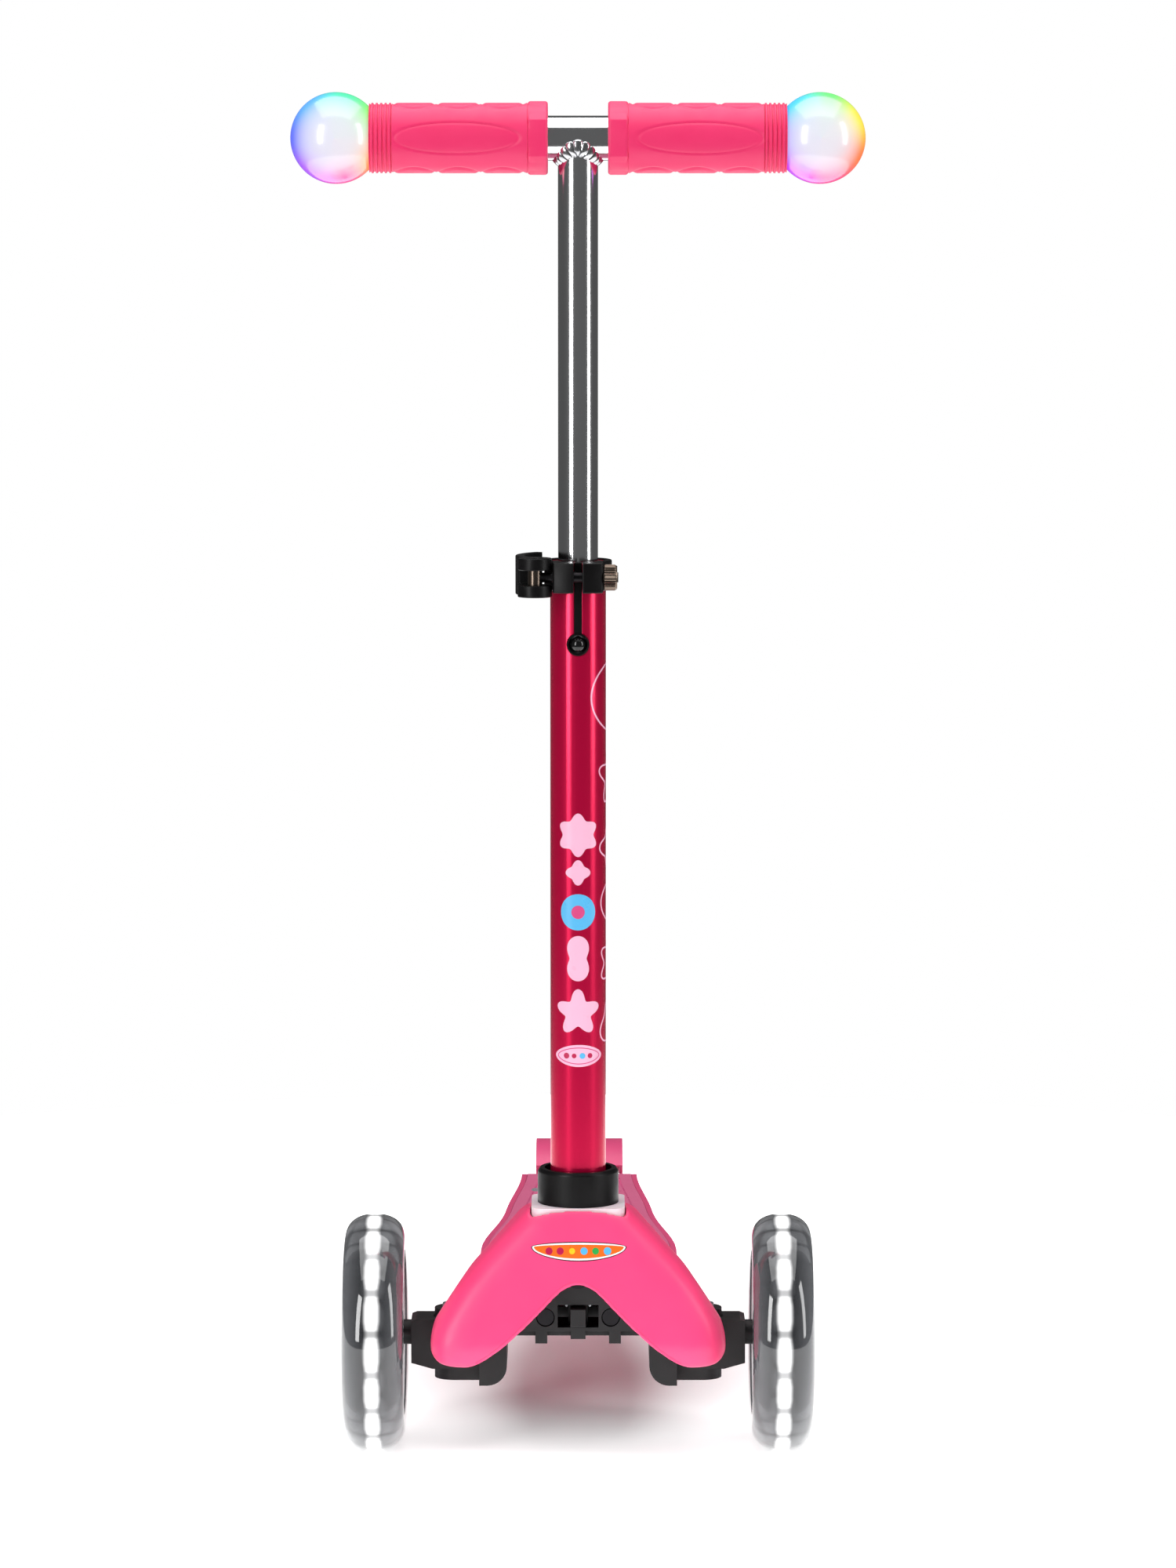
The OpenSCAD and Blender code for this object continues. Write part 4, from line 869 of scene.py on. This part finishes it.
def makeFilm(name, outer, lay, ink, body, thick, wide=None):
    if wide:
        inner = grownOut(outer, -wide)
    else:
        cx = sum(p[0] for p in outer) / len(outer)
        cy = sum(p[1] for p in outer) / len(outer)
        inner = [(cx + (x - cx) * film["heart"], cy + (y - cy) * film["heart"]) for x, y in outer]
    steps = film["bandSteps" if wide else "fillSteps"]
    stages = [(s / steps, thick) for s in range(steps + 1)]
    stages += [(s / steps, film["sunk"]) for s in range(steps, -1, -1)]
    rows = [[lay(a[0] + (b[0] - a[0]) * t, a[1] + (b[1] - a[1]) * t, height) for a, b in zip(inner, outer)]
            for t, height in stages]
    return dress(skin(name, rows, wide is not None, 60), inks[ink], body, filmSlot[body])


def grownOut(outline, distance):
    out = []
    for i, p in enumerate(outline):
        before, after = Vector(outline[i - 1]), Vector(outline[(i + 1) % len(outline)])
        along = (after - before).normalized()
        out.append((p[0] + along.y * distance, p[1] - along.x * distance))
    return out


def ellipse(cx, cy, rx, ry, count=40, pinch=0.0):
    return [(cx + rx * cos(a), cy + ry * sin(a) * (1 - pinch * cos(a) ** 2)) for a in around(count)]


def petals(cx, cy, radius, lobes, depth):
    out = []
    for a in around(72):
        r = radius * (1 - depth * (0.5 - 0.5 * cos(lobes * (a - pi / 2))))
        out.append((cx + r * cos(a), cy + r * sin(a)))
    return out


# Sticker on the cover: a lens of orange in white and dark borders, with a row of coloured dots
sticker = {"x": 0.4, "tipZ": 109.4, "halfLong": 24, "up": 2.6, "down": 6.9, "dark": 0.5, "white": 1.4,
           "dotsLow": 1.9,
           "dots": ((-15.0, "redInk", 1.8), (-9.4, "redInk", 1.8), (-3.4, "yellowInk", 1.5), (2.6, "skyInk", 1.8),
                    (8.4, "greenInk", 1.7), (14.4, "skyInk", 1.9))}


def lens(inset):
    out = []
    for a in around(72):
        tall = sticker["up"] if sin(a) > 0 else sticker["down"]
        out.append((sticker["x"] + (sticker["halfLong"] - inset) * cos(a),
                    sticker["tipZ"] + max(tall - inset, 0.3) * sin(a) * (1 - 0.1 * cos(a) ** 2)))
    return out


for name, inset, ink, height in (("stickerEdge", 0, "darkInk", 0.06),
                                 ("stickerBorder", sticker["dark"], "whiteInk", 0.1),
                                 ("stickerField", sticker["white"], "orangeInk", 0.14)):
    makeFilm(name, lens(inset), onCover, ink, "base", height)
for i, (x, ink, radius) in enumerate(sticker["dots"]):
    outline = ellipse(sticker["x"] + x, sticker["tipZ"] - sticker["dotsLow"], radius, radius, 24)
    makeFilm("stickerDot_%d" % i, outline, onCover, ink, "base", 0.18)

# Decals wrapped round the lower tube: plain shapes one above the other, and pale line drawings on its side
tubeRadius = (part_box("lower_tube")[1].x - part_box("lower_tube")[0].x) / 2


def onTube(x, z, height):
    a = x * mm / tubeRadius
    r = tubeRadius + height * mm
    return Vector((r * sin(a), frontAxle.y - r * cos(a), z * mm))


# For each shape: its outline, its ink, how proud it stands, and its width where it is a band
decals = {"flower": (petals(0, 316, 11.0, 6, 0.26), "paleInk", 0.06),
          "gem": (petals(0, 297, 6.4, 4, 0.3), "paleInk", 0.06),
          "disc": (ellipse(0, 277, 9.2, 9.2), "skyInk", 0.06),
          "discDot": (ellipse(0, 277, 3.4, 3.4, 28), "roseInk", 0.11),
          "bar": (petals(0, 253.5, 11.5, 2, 0.62), "paleInk", 0.06),
          "star": (petals(0, 226, 12.0, 5, 0.42), "paleInk", 0.06),
          "label": (ellipse(0.4, 204, 13.2, 5.6, 56, 0.2), "paleInk", 0.06),
          "labelLine": (ellipse(0.4, 204, 11.6, 4.3, 56, 0.2), "roseInk", 0.11, 0.45),
          "labelDotA": (ellipse(-6, 204, 1.5, 1.5, 24), "redInk", 0.11),
          "labelDotB": (ellipse(-2, 204, 1.2, 1.2, 24), "redInk", 0.11),
          "labelDotC": (ellipse(2.2, 204, 1.5, 1.5, 24), "skyInk", 0.11),
          "labelDotD": (ellipse(6.2, 204, 1.3, 1.3, 24), "redInk", 0.11)}
for name, (outline, ink, *sizes) in decals.items():
    makeFilm("decal_" + name, outline, onTube, ink, "lower_bar", *sizes)

lineDrawings = {"wide": 0.9, "proud": 0.06, "farShift": 12,
                "outlines": (petals(24, 385, 17.5, 3, 0.0), petals(26, 344, 15, 5, 0.4), petals(24, 309, 12, 4, 0.34),
                             ellipse(25, 281, 12, 10), petals(26, 250, 14, 6, 0.3), petals(24, 219, 12.5, 3, 0.3))}
for i, outline in enumerate(lineDrawings["outlines"]):
    shapes = {"lineDrawing_%d" % i: outline}
    # the far side carries every second drawing
    if i % 2:
        shapes["lineDrawingFar_%d" % i] = [(-x - lineDrawings["farShift"], z) for x, z in reversed(outline)]
    for name, shape in shapes.items():
        makeFilm(name, shape, onTube, "paleInk", "lower_bar", lineDrawings["proud"], lineDrawings["wide"])
print("sticker and decals made")

# Mat: an inner line, small printed marks, and rows of fine studs for grip
matLow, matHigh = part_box("deck_mat")
mat = {"lineInset": 7.0, "lineWidth": 0.8, "studPitch": 6.4, "studRadius": 1.15, "studHeight": 0.42,
       "studInset": 10.5, "rows": 60, "lineFrom": 22, "lineTo": 8, "studsFrom": 6, "studsTo": 4, "rowPitch": 0.866,
       "clearOfMarks": 7}

# Half width of the mat for each station along it, from its mesh
widths = {}
for vertex in nodes["deck_mat"].data.vertices:
    key = round(vertex.co.y / mm, 1)
    widths[key] = max(widths.get(key, 0), vertex.co.x / mm)
stations = sorted((y, wide) for y, wide in widths.items() if wide > 5)


def matHalf(y):
    for (a, wa), (b, wb) in zip(stations, stations[1:]):
        if a <= y <= b:
            return wa + (wb - wa) * (y - a) / max(b - a, 1e-6)
    return 0


def onMat(x, y, height):
    return Vector((x * mm, y * mm, matHigh.z + height * mm))


first, last = matLow.y / mm + mat["lineFrom"], matHigh.y / mm - mat["lineTo"]
ys = [first + (last - first) * i / mat["rows"] for i in range(mat["rows"] + 1)]
outline = [(matHalf(y) - mat["lineInset"], y) for y in ys]
outline += [(-x, y) for x, y in reversed(outline)]
makeFilm("matLine", outline, onMat, "roseInk", "base", 0.05, mat["lineWidth"])
axleY = frontAxle.y / mm
marks = {"matMarkA": (ellipse(-41, axleY + 197, 4.2, 5, 28), "whiteInk"),
         "matMarkB": (roundOff([(34.5, axleY + 203), (42, axleY + 203), (42, axleY + 222), (34.5, axleY + 222)],
                               1.0, 3), "whiteInk"),
         "matMarkC": (ellipse(-24.5, axleY + 350, 2.6, 5.5, 28), "greyInk")}
for name, (outline, ink) in marks.items():
    makeFilm(name, outline, onMat, ink, "base", 0.06)
points = []
row = 0
y = first + mat["studsFrom"]
while y < last - mat["studsTo"]:
    half = matHalf(y) - mat["studInset"]
    count = int(half / mat["studPitch"])
    for i in range(-count, count + 1):
        x = (i + (0.5 if row % 2 else 0)) * mat["studPitch"]
        away = min(hypot(x + 41, y - axleY - 197), hypot(x - 38, (y - axleY - 212) * 0.5))
        if abs(x) < half and away > mat["clearOfMarks"]:
            points.append(onMat(x, y, 0))
    row += 1
    y += mat["studPitch"] * mat["rowPitch"]
studs = grown("matStuds", points, [], studTree,
              {"Radius": mat["studRadius"] * mm, "Height": mat["studHeight"] * mm, "Finish": matRubber},
              [(0, 0, 1)] * len(points))
dress(studs, matRubber, "base", "mat_pink")
print("mat made:", len(points), "studs")

# Weld bead
bead = {"tube": 10.0, "bar": 11.1, "thick": 2.4, "ripples": 22, "rippleTall": 0.8, "around": 220, "section": 20,
        "uneven": 0.15, "proud": 0.2, "wide": 1.35, "tall": 0.62}


def makeBead():
    rows = []
    for a in around(bead["around"]):
        wave = (a * bead["ripples"] / (2 * pi)) % 1
        thick = bead["thick"] + bead["rippleTall"] * sqrt(max(0, 1 - (2 * wave - 1) ** 2))
        thick += bead["uneven"] * sin(3 * a)
        y = bead["tube"] * sin(a)
        z = -sqrt(bead["bar"] ** 2 - y ** 2)
        out = Vector((cos(a), sin(a), 0))
        down = Vector((0, y / bead["bar"], z / bead["bar"]))
        middle = Vector((bead["tube"] * cos(a), y, z)) + (out + down) * bead["proud"]
        across = (out - down).normalized()
        deep = (out + down).normalized()
        row = []
        for t in around(bead["section"]):
            p = middle + across * (thick * bead["wide"] * cos(t)) + deep * (thick * bead["tall"] * sin(t))
            row.append(Vector((p.x * mm, barCentre.y + p.y * mm, barCentre.z + p.z * mm)))
        rows.append(row)
    return skin("weldBead", rows, True, 60)


dress(makeBead(), weldMetal, "upper_bar", "polished_aluminium", "weld_bead")

# Knurled nut
# Rings of the nut: which end and how far from it inwards, the share of its radius, and whether it is knurled
knurl = {"ridges": 30, "depth": 0.45,
         "rings": (("low", 0, 0.42, 0), ("low", 0, 0.9, 0), ("low", 0.5, 0.97, 0), ("low", 0.9, 1, 1),
                   ("high", 1.2, 1, 1), ("high", 0.8, 0.95, 0), ("high", 0, 0.88, 0), ("high", 0, 0.62, 0),
                   ("high", 0.5, 0.58, 0), ("high", 0.5, 0.42, 0))}


def makeNut():
    low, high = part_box("clamp_nut")
    centre = (low + high) / 2
    radius = (high.z - low.z) / 2
    rows = []
    for end, inward, scale, rough in knurl["rings"]:
        x = low.x + inward * mm if end == "low" else high.x - inward * mm
        row = []
        for a in around(knurl["ridges"] * 6):
            tooth = abs((a * knurl["ridges"] / (2 * pi)) % 1 - 0.5) * 2
            r = radius * scale - rough * knurl["depth"] * mm * tooth
            row.append(Vector((x, centre.y + r * cos(a), centre.z + r * sin(a))))
        rows.append(row)
    return skin("knurledNut", rows, True, 25)


dress(makeNut(), bronzeNut, "lower_bar", "bronze_nut", "clamp_nut")
print("small parts made")
